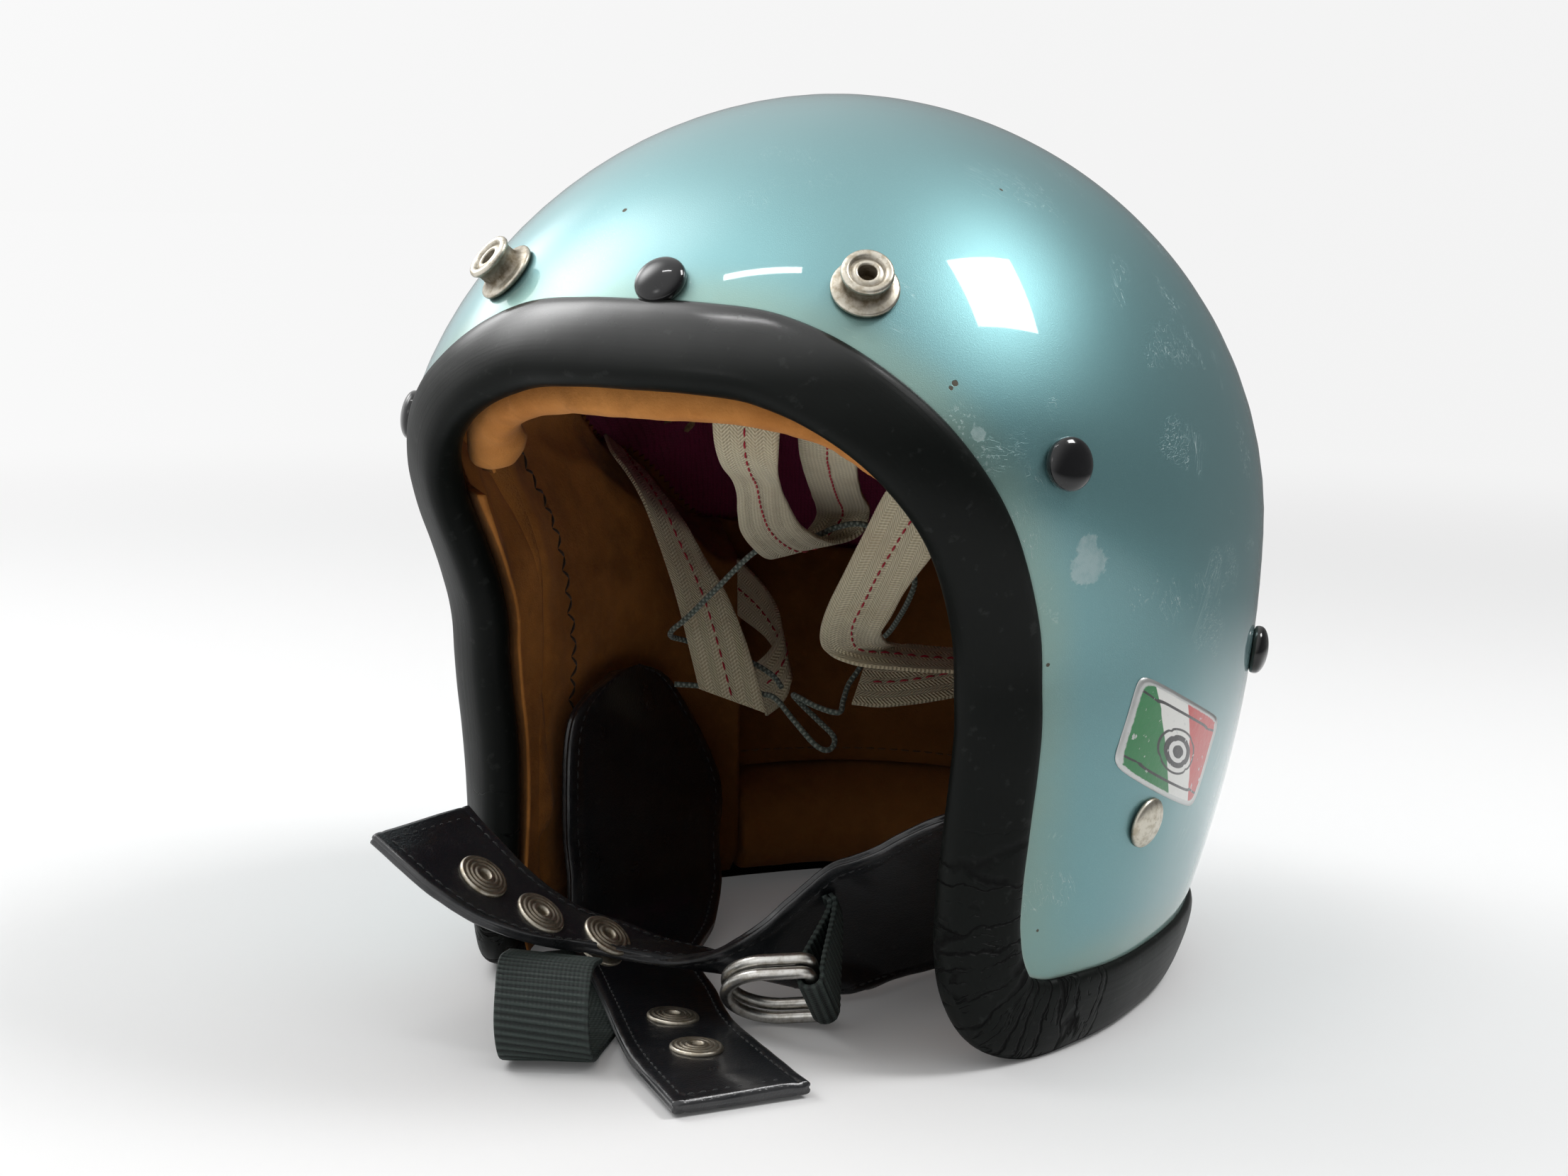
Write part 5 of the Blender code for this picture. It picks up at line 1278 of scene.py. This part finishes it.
def rim_azimuth(height):
    cheek = [entry for entry in RIM_SHARES if 30.0 < entry[0] < 60.0]
    share = (height - RIM_FOOT) / SHELL_HEIGHT
    for (a, high), (b, low) in zip(cheek, cheek[1:]):
        if share >= low:
            return b + (a - b) * min((share - low) / (high - low), 1.0)
    return cheek[-1][0]


def cavity_radius(azimuth):
    turn = math.radians(azimuth)
    reach = CAVITY_FRONT_REACH if math.cos(turn) > 0.0 else CAVITY_BACK_REACH
    return 1.0 / math.sqrt((math.sin(turn) / CAVITY_HALF_WIDTH) ** 2 + (math.cos(turn) / reach) ** 2)


def two_faces(rows, columns, place):
    """The rear and the face of a lining, as grids. Place gives both for shares up and across."""
    backs, fronts = [], []
    for r in range(rows + 1):
        pairs = [place(r / rows, c / columns) for c in range(columns + 1)]
        backs.append([back for back, _ in pairs])
        fronts.append([front for _, front in pairs])
    return backs, fronts


def make_slab(name, backs, fronts, finish):
    """A closed piece: each row of its points runs along the face and back along the rear."""
    rows = [front + back[::-1] for front, back in zip(fronts, backs)]
    return lay(name, rows, finish, round_across=True, caps=True)


def nape_azimuth(across):
    """Degrees round from the front, at a share across the pieces behind the nape."""
    half = 180.0 - SIDE_PANEL_END - math.degrees(PANEL_GAP / CAVITY_HALF_WIDTH)
    return 180.0 + half * (2.0 * across - 1.0)


def make_side_lining(name, side):
    """A suede cheek panel whose front edge is a padded roll with a seam behind it."""
    foot_edge = share_line(PINKED_EDGE_SHARES, 42.0)

    def place(row, share):
        height = LINING_FOOT + (foot_edge - LINING_FOOT) * row
        start = rim_azimuth(height)
        front_radius = wall_radius(start, height)
        first = start + math.degrees(ROLL_FRONT / front_radius)
        roll_end = start + math.degrees((ROLL_FRONT + ROLL_WIDTH) / front_radius)
        reach = share / ROLL_COLUMNS
        if reach < 1.0:
            azimuth = first + (roll_end - first) * reach
        else:
            past = (share - ROLL_COLUMNS) / (1.0 - ROLL_COLUMNS)
            azimuth = roll_end + (SIDE_PANEL_END - roll_end) * past
        z = LINING_FOOT + (share_line(PINKED_EDGE_SHARES, azimuth) - LINING_FOOT) * row
        near_rim = soft_step(z, 48.3 * MM, 29.4 * MM) if reach >= 0.9 else 1.0
        deep = inward(azimuth, z, SUEDE_DEPTH)
        back = deep + (inward(azimuth, z, ROLL_DEPTH) - deep) * near_rim
        limit = back - SUEDE_WALL
        climb = max(z - EQUATOR_HEIGHT * 0.72, 0.0) / (SHELL_HEIGHT * 0.35)
        form = cavity_radius(azimuth)
        form += (limit - form) * min(climb * climb * 2.2, 1.0)
        thick = back - min(form, limit)
        if reach < 1.0:
            thick *= math.sin(math.pi / 2.0 * (0.12 + 0.88 * reach))
        ease = math.sin(math.pi / 2.0 * min(row / 0.10, 1.0))
        face = back - thick * (0.35 + 0.65 * ease)
        rim = back - SUEDE_WALL * 0.5
        tip = min((1.0 - row) / 0.10, 1.0)
        face = rim - (rim - face) * tip
        spot = round_point(azimuth, z, face)
        bumps = math.exp(-(((reach - 0.97) / 0.05) ** 2)) * 2.2 + 0.8
        bumps += swell(spot, 26.0 * MM, 1.0 + side) * 1.1 + swell(spot, 9.0 * MM, 4.0 + side) * 0.45
        inside = min(tip, ease, min(reach * 3.0, 1.0), min((1.0 - share) * 20.0, 1.0))
        face = min(face + bumps * MM * max(inside, 0.0), back - 0.8 * MM)
        return round_point(azimuth * side, z, back), round_point(azimuth * side, z, face)

    backs, fronts = two_faces(90, 110, place)
    panel = make_slab(name, backs, fronts, "suede")
    settle(panel, "helmet", "suede", "side_lining_" + ("left" if side > 0.0 else "right"))
    return fronts


def make_rear_lining():
    rows, columns = 40, 90
    foot = NECK_ROLL_TOP + PANEL_GAP

    def place(row, across):
        azimuth = nape_azimuth(across)
        top = share_line(PINKED_EDGE_SHARES, min(azimuth, 360.0 - azimuth))
        z = foot + (top - foot) * row
        edge = min(min(row, 1.0 - row) / 0.1, min(across, 1.0 - across) * columns / 4.0, 1.0)
        back = inward(azimuth, z, SUEDE_DEPTH)
        spot = round_point(azimuth, z, back)
        bumps = swell(spot, 24.0 * MM, 8.0) * 0.9 + swell(spot, 8.0 * MM, 9.0) * 0.3 + 0.6
        thick = REAR_SUEDE_WALL * (0.5 + 0.5 * edge) - bumps * MM * edge
        return spot, round_point(azimuth, z, back - thick)

    backs, fronts = two_faces(rows, columns, place)
    panel = make_slab("suede_rear_panel", backs, fronts, "suede")
    settle(panel, "helmet", "suede", "rear_lining")
    return fronts


def make_neck_roll():
    def place(row, across):
        azimuth = nape_azimuth(across)
        z = LINING_FOOT + (NECK_ROLL_TOP - LINING_FOOT) * row
        full = 0.30 + 0.70 * math.sin(math.pi * (0.04 + 0.92 * row)) ** 0.7
        back = inward(azimuth, z, ROLL_DEPTH)
        spot = round_point(azimuth, z, back)
        pinch = 0.5 + 0.5 * math.cos(math.radians(azimuth) * 24.0)
        crease = (pinch**6 * 1.1 * abs(row - 0.5) * 2.0 + swell(spot, 12.0 * MM, 6.0) * 0.7) * MM
        thick = NECK_ROLL_THICKNESS * full - max(crease + 2.2 * MM, 0.0)
        return spot, round_point(azimuth, z, back - thick)

    backs, fronts = two_faces(48, 130, place)
    # Painted light: the neck roll takes the lighter copy of the suede's colours.
    roll = make_slab("neck_roll_pad", backs, fronts, "suede_painted_lit")
    fill_pad(roll, ROLL_DEPTH + 4.0 * MM)
    crumple(roll, 0.7 * MM, 16.0)
    settle(roll, "helmet", "suede", "neck_roll")


def apply_modifiers(thing):
    seen = thing.evaluated_get(bpy.context.evaluated_depsgraph_get())
    mesh = bpy.data.meshes.new_from_object(seen)
    thing.modifiers.clear()
    thing.data = mesh


def fill_pad(thing, depth, voxel=4.0 * MM, most=3.0 * MM):
    """Blows up the pad's cover with simulated cloth, sewn down where it lies less deep than depth."""
    voxels = thing.modifiers.new("voxels", "REMESH")
    voxels.mode = "VOXEL"
    voxels.voxel_size = voxel
    apply_modifiers(thing)
    start = [vertex.co.copy() for vertex in thing.data.vertices]
    sewn = []
    for index, point in enumerate(start):
        paint = shell_point((point - HUB).normalized())
        if (paint - point).dot(shell_normal(paint)) < depth:
            sewn.append(index)
    group = thing.vertex_groups.new(name="sewn")
    group.add(sewn, 1.0, "REPLACE")
    cloth = thing.modifiers.new("cover", "CLOTH")
    cloth.settings.quality = 6
    cloth.settings.use_pressure = True
    cloth.settings.uniform_pressure_force = 4.0
    cloth.settings.effector_weights.gravity = 0.0
    cloth.settings.vertex_group_mass = group.name
    cloth.collision_settings.use_collision = False
    for frame_number in range(1, 21):
        bpy.context.scene.frame_set(frame_number)
    apply_modifiers(thing)
    bpy.context.scene.frame_set(1)
    for vertex, old in zip(thing.data.vertices, start):
        move = vertex.co - old
        if move.length > most:
            vertex.co = old + move * (most / move.length)
    smooth = thing.modifiers.new("cover", "SUBSURF")
    smooth.levels = smooth.render_levels = 1
    apply_modifiers(thing)
    thing.data.shade_smooth()


def crumple(thing, high, seed):
    """Small creases of the suede, pressed into the pad."""
    normals = [vertex.normal.copy() for vertex in thing.data.vertices]
    for vertex, out in zip(thing.data.vertices, normals):
        crease = swell(vertex.co, 20.0 * MM, seed) * 0.6 + swell(vertex.co, 7.0 * MM, seed + 1.0) * 0.4
        vertex.co -= out * max(crease + 0.35, 0.0) * high


def make_brow_roll():
    """The padded roll behind the brow, which ends in a round lobe on each temple."""
    low = SHELL_HEIGHT * BROW_END_SHARE
    half = RIM_STATIONS // 2
    chosen = [i for i in range(-half, half) if STATIONS[i][0].z > low]
    rows = []
    for i in chosen:
        reach = abs(i) / (len(chosen) / 2.0)
        size = 0.10 + 0.84 * math.sqrt(max(1.0 - reach**36, 0.0))
        lobe = soft_step(reach, 0.70, 0.90)
        thick = BROW_DEPTH * size * (1.0 + 0.35 * lobe)
        row = []
        for x, y in circle(BROW_SIDES):
            up = (BROW_RISE - BROW_DROP) / 2.0 + x * (BROW_RISE + BROW_DROP) / 2.0 * size
            lift = math.copysign(abs(y) ** 0.8, y)
            out = -EDGE_DEPTH - BROW_GAP - (1.0 + 2.0 * lobe) * MM + (lift - 1.0) * thick / 2.0
            row.append(off_rim(STATIONS[i], up, out))
        rows.append(row)
    # Painted light: the brow roll takes the lighter copy of the suede's colours.
    roll = lay("brow_roll_pad", rows, "suede_painted_lit", round_across=True, caps=True)
    fill_pad(roll, EDGE_DEPTH + BROW_GAP + 4.0 * MM)
    crumple(roll, 0.8 * MM, 12.0)
    settle(roll, "helmet", "suede", "brow_pad")


def make_crown_cloth():
    """The dark red cloth, drawn into shallow folds towards the crown."""
    stations = STATIONS[::3]
    left = 1.0 - CROWN_CLOTH_START
    shares = [CROWN_CLOTH_START + left * k / CROWN_ROWS for k in range(CROWN_ROWS)]
    rows = []
    for ring_share, ring in zip(shares, crown_rings(stations, CLOTH_DEPTH, shares)):
        row = []
        for k, point in enumerate(ring):
            turn = 2.0 * math.pi * k / len(ring)
            fold = math.sin(turn * CROWN_FOLDS + swell(point, 40.0 * MM, 3.0) * 2.0) * 0.35
            fold = (fold + swell(point, 18.0 * MM, 15.0) * 0.4) * (1.0 - ring_share * 0.6) * MM
            out = shell_normal(shell_point((point - HUB).normalized()))
            row.append(point - out * (fold + 0.9 * MM))
        rows.append(row)
    rows = cap_dome(rows, skin(POLE, CLOTH_DEPTH + 0.9 * MM))
    cloth = lay("crown_cloth", rows, "cloth", round_across=True)
    merge(cloth)
    settle(cloth, "helmet", "crown_cloth", "crown_liner")
    thicken(cloth, 0.5 * MM)


# Straps, webbing and tapes


class Band:
    """A strap between two rails, with its surface's places and normals."""

    def __init__(self, near, far, count):
        self.near = even_points(metres(near), count)
        self.far = even_points(metres(far), count)
        self.count = count
        self.run = [0.0]
        for i in range(count - 1):
            step = (self.near[i + 1] + self.far[i + 1] - self.near[i] - self.far[i]).length / 2.0
            self.run.append(self.run[-1] + step)

    def width(self, r):
        return (self.far[r] - self.near[r]).length

    def normal(self, r, share):
        low, high = max(r - 1, 0), min(r + 1, self.count - 1)
        way = self.near[high].lerp(self.far[high], share) - self.near[low].lerp(self.far[low], share)
        return way.cross(self.far[r] - self.near[r]).normalized()

    def at(self, along, share, lift=0.0):
        """The point and normal at shares along and across, lifted off the middle surface."""
        r = min(int(along * (self.count - 1)), self.count - 2)
        t = along * (self.count - 1) - r
        point = self.near[r].lerp(self.far[r], share).lerp(self.near[r + 1].lerp(self.far[r + 1], share), t)
        normal = self.normal(r, share).lerp(self.normal(r + 1, share), t).normalized()
        return point + normal * lift, normal

    def build(self, name, outline, finish, ruffle):
        """Outline holds (share across, lift) in metres for the top; the underside mirrors it."""
        loop = [(s, h, 1.0) for s, h in outline] + [(s, h, -1.0) for s, h in outline[::-1]]
        rows = []
        for r in range(self.count):
            row = []
            for share, lift, face in loop:
                point = self.near[r].lerp(self.far[r], share)
                normal = self.normal(r, min(max(share, 0.0), 1.0))
                row.append(point + normal * (lift * face + ruffle(self, r, share, face)))
            rows.append(row)

        def uv(r, c):
            return self.run[r], loop[c % len(loop)][0] * self.width(r)

        def edge(r, c):
            share = loop[c][0]
            side = min(share, 1.0 - share) * self.width(r)
            inset = min(side, self.run[r], self.run[-1] - self.run[r])
            return 1.0 - min(max(inset, 0.0) / (3.0 * MM), 1.0)

        # Marks the rib crests. The webbing's colour uses it for painted shade between the ribs.
        def rib(r, c):
            return 0.5 + 0.5 * math.cos(2.0 * math.pi * self.run[r] / RIB_PITCH)

        marks = {"edge": edge, "rib": rib}
        return lay(name, rows, finish, round_across=True, caps=True, uv=uv, marks=marks)


def leather_outline(half):
    """Two layers sewn together: a groove down each edge and a seam line inside it."""
    outer = [
        (-0.004, 0.10), (-0.013, 0.30), (-0.012, 0.62), (-0.002, 0.86), (0.016, 0.97), (0.045, 1.0),
        (0.066, 0.93), (0.080, 0.86), (0.094, 0.93), (0.120, 1.0), (0.20, 1.02), (0.35, 1.04), (0.5, 1.05),
    ]
    full = outer + [(1.0 - s, h) for s, h in outer[-2::-1]]
    return [(s, h * half) for s, h in full]


def flat_outline(half, columns):
    """A woven strap: flat, with round selvedges."""
    outer = [(-0.012, 0.25), (-0.010, 0.7), (0.008, 0.98)]
    middle = [(k / columns, 1.0) for k in range(1, columns)]
    full = outer + middle + [(1.0 - s, h) for s, h in outer[::-1]]
    return [(s, h * half) for s, h in full]


def leather_ruffle(band, r, share, face):
    """Creases across the leather, the same on both faces."""
    point = band.near[r].lerp(band.far[r], min(max(share, 0.0), 1.0))
    return (swell(point, 14.0 * MM, 21.0) * 0.30 + swell(point, 5.0 * MM, 22.0) * 0.10) * MM


def web_ruffle(band, r, share, face):
    """The webbing's cross ribs, raised on both faces."""
    inside = soft_step(min(share, 1.0 - share), -0.01, 0.04)
    wave = math.cos(2.0 * math.pi * band.run[r] / RIB_PITCH)
    return face * (wave * 0.5 - 0.35) * RIB_RISE * inside


def tape_wave(point):
    return swell(point, 11.0 * MM, 31.0) * 0.35 * MM


def tape_ruffle(band, r, share, face):
    return tape_wave(band.near[r].lerp(band.far[r], min(max(share, 0.0), 1.0)))


def turned_over(places, face):
    """The same places with their normals on the upper face, 1, or the lower one, -1."""
    return [(point, normal * face) for point, normal in places]


def seam_runs(start, end):
    return [start + (end - start) * k / SEAM_STEPS for k in range(SEAM_STEPS + 1)]


def edge_seam(band, start, end, lift, side):
    """Places a fixed distance in from one side of the band."""
    places = []
    for along in seam_runs(start, end):
        share = STRAP_SEAM_INSET / band.width(int(along * (band.count - 1)))
        places.append(band.at(along, share if side > 0.0 else 1.0 - share, lift))
    return places


def make_strap(name, band, body, node):
    strap = band.build(name, leather_outline(STRAP_HALF), "leather", leather_ruffle)
    settle(strap, body, "black_leather", node)
    for face, word in ((1.0, "upper"), (-1.0, "lower")):
        lift = STRAP_HALF * 0.93 * face
        seams = {
            "near": edge_seam(band, 0.02, 0.985, lift, 1.0),
            "far": edge_seam(band, 0.02, 0.985, lift, -1.0),
            "end": [band.at(0.985, 0.12 + 0.76 * k / 40.0, lift) for k in range(41)],
        }
        for edge, places in seams.items():
            title = name + "_stitches_" + word + "_" + edge
            stitch_line(title, turned_over(places, face), "dark_thread", body, "black_leather")


def make_snap_caps(names, band, shares, body):
    """Caps with pressed rings round a small eye, and the plain flange of their sockets."""
    outline = [
        (0.0, 0.55), (1.2, 0.55), (1.6, 0.75), (1.8, 1.35), (2.2, 1.62), (2.8, 1.6), (3.1, 1.25),
        (3.4, 1.2), (3.7, 1.5), (4.2, 1.55), (4.5, 1.2), (4.8, 1.12), (5.1, 1.4), (5.6, 1.42),
        (5.9, 1.05), (6.2, 1.0), (6.6, 1.2), (7.0, 1.05), (7.35, 0.6), (7.4, 0.1), (7.2, -0.2),
        (2.2, -0.3), (2.2, -3.4), (6.9, -3.45), (7.3, -3.65), (7.35, -4.2), (7.0, -4.7), (5.0, -5.0),
        (0.0, -4.9),
    ]
    grime = [1.0, 1.0, 0.9, 0.5] + [0.1, 0.1, 0.8, 0.8] * 3 + [0.1, 0.1, 0.4, 0.8, 1.0, 1.0, 1.0]
    grime += [0.5, 0.3, 0.3, 0.2, 0.1, 0.1]
    for name, along in zip(names, shares):
        point, normal = band.at(along, 0.5)
        if normal.z < 0.0:
            normal.negate()
        place_at = frame_at(point + normal * (STRAP_HALF - 0.05 * MM), normal)
        cap = lathe(name + "_ringed", outline, place_at, "nickel", grime)
        settle(cap, body, "aged_nickel", name)


def make_tape(name, rails):
    """A cotton tape sewn down its middle with red thread."""
    near, far = rails
    band = Band(near, far, 60 + 14 * len(near))
    tape = band.build("tape_" + name, flat_outline(TAPE_HALF, 10), "tape", tape_ruffle)
    length, area = band.run[-1], 0.0
    for r in range(band.count - 1):
        area += (band.width(r) + band.width(r + 1)) / 2.0 * (band.run[r + 1] - band.run[r])
    settle(tape, "helmet", "cradle_tape", "cradle_tape_" + name)
    for face, word in ((1.0, "face"), (-1.0, "back")):
        places = []
        for along in seam_runs(0.01, 0.99):
            point, normal = band.at(along, 0.5)
            point += normal * face * (TAPE_HALF + 0.12 * MM)
            places.append((point + normal * tape_wave(point), normal * face))
        title = "tape_" + name + "_red_stitches_" + word
        stitch_line(title, places, "red_thread", "helmet", "cradle_tape")


def mirrored(points):
    return tuple((-x, y, z) for x, y, z in points)


def make_straps():
    left = Band(FLAP_FRONT + LEFT_FRONT, FLAP_BACK + LEFT_BACK, 330)
    right = Band(mirrored(FLAP_FRONT) + RIGHT_FRONT, mirrored(FLAP_BACK) + RIGHT_BACK, 300)
    make_strap("left_strap_leather", left, "left_strap", "chin_strap_left")
    make_strap("right_strap_leather", right, "right_strap", "chin_strap_right")
    make_snap_caps(("snap_cap_1", "snap_cap_2", "snap_cap_3"), left, LEFT_CAPS, "left_strap")
    make_snap_caps(("snap_stud_1", "snap_stud_2"), right, RIGHT_CAPS, "right_strap")
    tail = Band(TAIL_NEAR, TAIL_FAR, 560)
    web = tail.build("webbing_tail_ribbed", flat_outline(WEB_HALF, 14), "webbing", web_ruffle)
    settle(web, "right_strap", "webbing", "webbing_tail")


def ring_axes():
    reach_way = (RING_REACH_WAY - RING_BAR_WAY * RING_REACH_WAY.dot(RING_BAR_WAY)).normalized()
    stack_way = RING_BAR_WAY.cross(reach_way)
    return reach_way, stack_way if stack_way.z > 0.0 else -stack_way


def make_rings():
    reach_way, stack_way = ring_axes()
    half = RING_BAR / 2.0
    bend = RING_WIRE * 1.3
    corner = half - bend
    outline = [(-corner + 2.0 * corner * k / 16.0, 0.0) for k in range(17)]
    outline += arc((corner, bend), bend, [-90.0 + 11.25 * k for k in range(1, 9)])
    outline += arc((0.0, RING_REACH - half), half, [3.0 * k for k in range(1, 61)])
    outline += arc((-corner, bend), bend, [180.0 + 11.25 * k for k in range(8)])
    for name, level in (("upper", 0.5), ("lower", -0.5)):
        middle = RING_BAR_AT + stack_way * (RING_PITCH * level)
        points = [middle + RING_BAR_WAY * u + reach_way * v for u, v in outline]
        ring = tube("ring_wire_" + name, points, RING_WIRE, 24, "steel", closed=True)
        settle(ring, name + "_ring", "ring_steel", "d_ring_" + name)


def make_ring_loop():
    """The webbing loop round both bars, its ends drawn together on the strap."""
    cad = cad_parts["chin_strap_left"].data
    facets = BVHTree.FromPolygons([v.co for v in cad.vertices], [tuple(f.vertices) for f in cad.polygons])
    reach_way, stack_way = ring_axes()
    seat, face_way, _, _ = facets.find_nearest(LOOP_ROOT)
    if face_way.dot(LOOP_ROOT - seat) < 0.0:
        face_way = -face_way
    apart = (reach_way - face_way * reach_way.dot(face_way)).normalized()
    across = face_way.cross(apart)
    if across.dot(RING_BAR_WAY) < 0.0:
        across = -across
    wrap = RING_WIRE + 0.75 * MM + WEB_HALF
    low = RING_PITCH / 2.0
    turn, drop = wrap * 0.7, low + wrap * 0.73
    outline = (
        (wrap, low), (wrap, -low), (turn, -drop), (0.0, -low - wrap), (-turn, -drop), (-wrap, -low),
        (-wrap, low),
    )
    foot = seat + face_way * (0.5 * MM)
    neck = foot + face_way * (4.5 * MM)
    layer = apart * (WEB_HALF + 0.1 * MM)
    rails = []
    for side in (1.0, -1.0):
        shift = across * (LOOP_ROOT_HALF_WIDTH * side)
        edge = RING_BAR_AT + RING_BAR_WAY * (LOOP_HALF_WIDTH * side)
        rail = [foot + layer + shift, neck + layer + shift]
        rail += [edge + reach_way * v + stack_way * n for v, n in outline]
        rail += [neck - layer + shift, foot - layer + shift]
        rails.append([point / MM for point in rail])
    band = Band(*rails, 420)
    loop = band.build("ring_loop_ribbed", flat_outline(WEB_HALF, 12), "webbing", web_ruffle)
    settle(loop, "left_strap", "webbing", "ring_loop")


def make_lace():
    points = even_points(metres(LACE), 620)
    lace = tube("lace_cord", points, LACE_RADIUS, 10, "lace")
    settle(lace, "helmet", "lace", "lacing_cord")
    length = sum((points[k + 1] - points[k]).length for k in range(len(points) - 1))


# Seams of the lining


def grid_place(grid, row_share, column_share, lift):
    """A point and inward normal on a lining's face, by shares up and across."""
    rows, columns = len(grid) - 1, len(grid[0]) - 1
    r = min(int(row_share * rows), rows - 1)
    c = min(int(column_share * columns), columns - 1)
    u, v = row_share * rows - r, column_share * columns - c
    low = grid[r][c].lerp(grid[r][c + 1], v)
    point = low.lerp(grid[r + 1][c].lerp(grid[r + 1][c + 1], v), u)
    normal = (grid[r + 1][c] - grid[r][c]).cross(grid[r][c + 1] - grid[r][c]).normalized()
    inward_way = Vector((-point.x, -point.y, 0.0))
    if normal.dot(inward_way) < 0.0:
        normal.negate()
    return point + normal * lift, normal


def pinked_edge(name, grid):
    """The suede's top edge, cut in small teeth over the crown cloth."""
    top = grid[-1]
    points = even_points(top, 2 * PINKED_TEETH + 1, fine=4 * PINKED_TEETH)
    rows = [[], [], []]
    for k, point in enumerate(points):
        before, after = points[max(k - 1, 0)], points[min(k + 1, len(points) - 1)]
        paint = shell_point((point - HUB).normalized())
        inner = -shell_normal(paint)
        up = inner.cross(after - before).normalized()
        if up.z < 0.0:
            up.negate()
        base = paint + inner * (CLOTH_DEPTH + 1.9 * MM)
        tooth = PINKED_RISE if k % 2 else PINKED_RISE * 0.25
        for row, climb in zip(rows, (-PINKED_LAP, 0.0, tooth)):
            row.append(base + up * climb)
    edge = lay(name, rows, "suede")
    thicken(edge, 0.9 * MM)
    edge.data.shade_flat()
    settle(edge, "helmet", "suede")


def lining_seam(name, grid, start, end, thread):
    """A seam over a lining's face, between two places given as shares up and across."""
    places = []
    for k in range(121):
        t = k / 120.0
        up, across = start[0] + (end[0] - start[0]) * t, start[1] + (end[1] - start[1]) * t
        places.append(grid_place(grid, up, across, 0.1 * MM))
    stitch_line(name, places, thread, "helmet", "suede")


# Stage


def area_light(name, place, width, height, power, soft, up):
    data = bpy.data.lights.new(name, "AREA")
    data.energy = power
    data.size = width
    if height != width:
        data.shape = "RECTANGLE"
        data.size_y = height
    if soft:
        data.use_nodes = True
        tree = data.node_tree
        surface = add_node(tree, "NewGeometry", {}, {}, "Parametric")
        reach = vector_maths(tree, "DISTANCE", surface, (0.5, 0.5, 0.0))
        plug(tree, tree.nodes["Emission"].inputs["Strength"], reach.above(0.5, 0.0) ** LAMP_FALL)
    lamp = bpy.data.objects.new(name, data)
    lamp.matrix_world = frame_at(Vector(place), Vector(place) - LAMP_AIM, up)
    bpy.context.scene.collection.objects.link(lamp)


def make_world():
    world = bpy.data.worlds.new("studio")
    bpy.context.scene.world = world
    world.use_nodes = True
    tree = world.node_tree
    glossy, seen = rays(tree)
    way = add_node(tree, "TexCoord", {}, {}, "Generated")
    bright = room_light(tree, way)
    pale = ROOM_SEEN[0] + bright * (ROOM_SEEN[1] - ROOM_SEEN[0])
    mirrored = ROOM_MIRRORED[0] + bright * (ROOM_MIRRORED[1] - ROOM_MIRRORED[0])
    up = add_node(tree, "SeparateXYZ", {}, {"Vector": way}, "Z")
    lit = ROOM_DIFFUSE[0] + up.above(0.1, 1.0) * ROOM_DIFFUSE[1]
    strength = lit * (1.0 - seen) * (1.0 - glossy) + seen * pale + glossy * mirrored
    background = tree.nodes["Background"]
    background.inputs[0].default_value = (1.0, 1.0, 1.0, 1.0)
    plug(tree, background.inputs[1], strength)


def make_stage():
    bpy.ops.mesh.primitive_circle_add(vertices=96, radius=8.0, fill_type="NGON", location=(0.0, 0.0, 0.0))
    floor = bpy.context.object
    floor.name = "studio_floor"
    floor.data.materials.append(floor_finish().material)
    for name, lamp in LAMPS.items():
        area_light(name, *lamp)
    make_world()
    bpy.context.scene.view_settings.view_transform = "Standard"


def dress_core():
    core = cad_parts["impact_liner"]
    core.data.materials.clear()
    core.data.materials.append(FINISHES["cork"].material)


make_camera()
make_lace()
make_shell()
make_rubber_edge()
make_dome_caps()
make_visor_studs()
make_strap_rivets()
make_label()
left_cheek = make_side_lining("suede_cheek_left", 1.0)
right_cheek = make_side_lining("suede_cheek_right", -1.0)
nape = make_rear_lining()
make_neck_roll()
make_brow_roll()
make_crown_cloth()
make_straps()
make_rings()
make_ring_loop()
for tape_name, tape_rails in CRADLE.items():
    make_tape(tape_name, tape_rails)
for title, cheek in (("cheek_left", left_cheek), ("cheek_right", right_cheek)):
    lining_seam(title + "_zigzag", cheek, (0.99, 0.44), (0.05, 0.50), "brown_thread")
    lining_seam(title + "_roll_seam", cheek, (0.97, 0.355), (0.03, 0.355), "tan_thread")
    pinked_edge(title + "_pinked_edge", cheek)
pinked_edge("nape_pinked_edge", nape)
lining_seam("nape_seam", nape, (0.06, 0.01), (0.06, 0.99), "tan_thread")
dress_core()
make_stage()
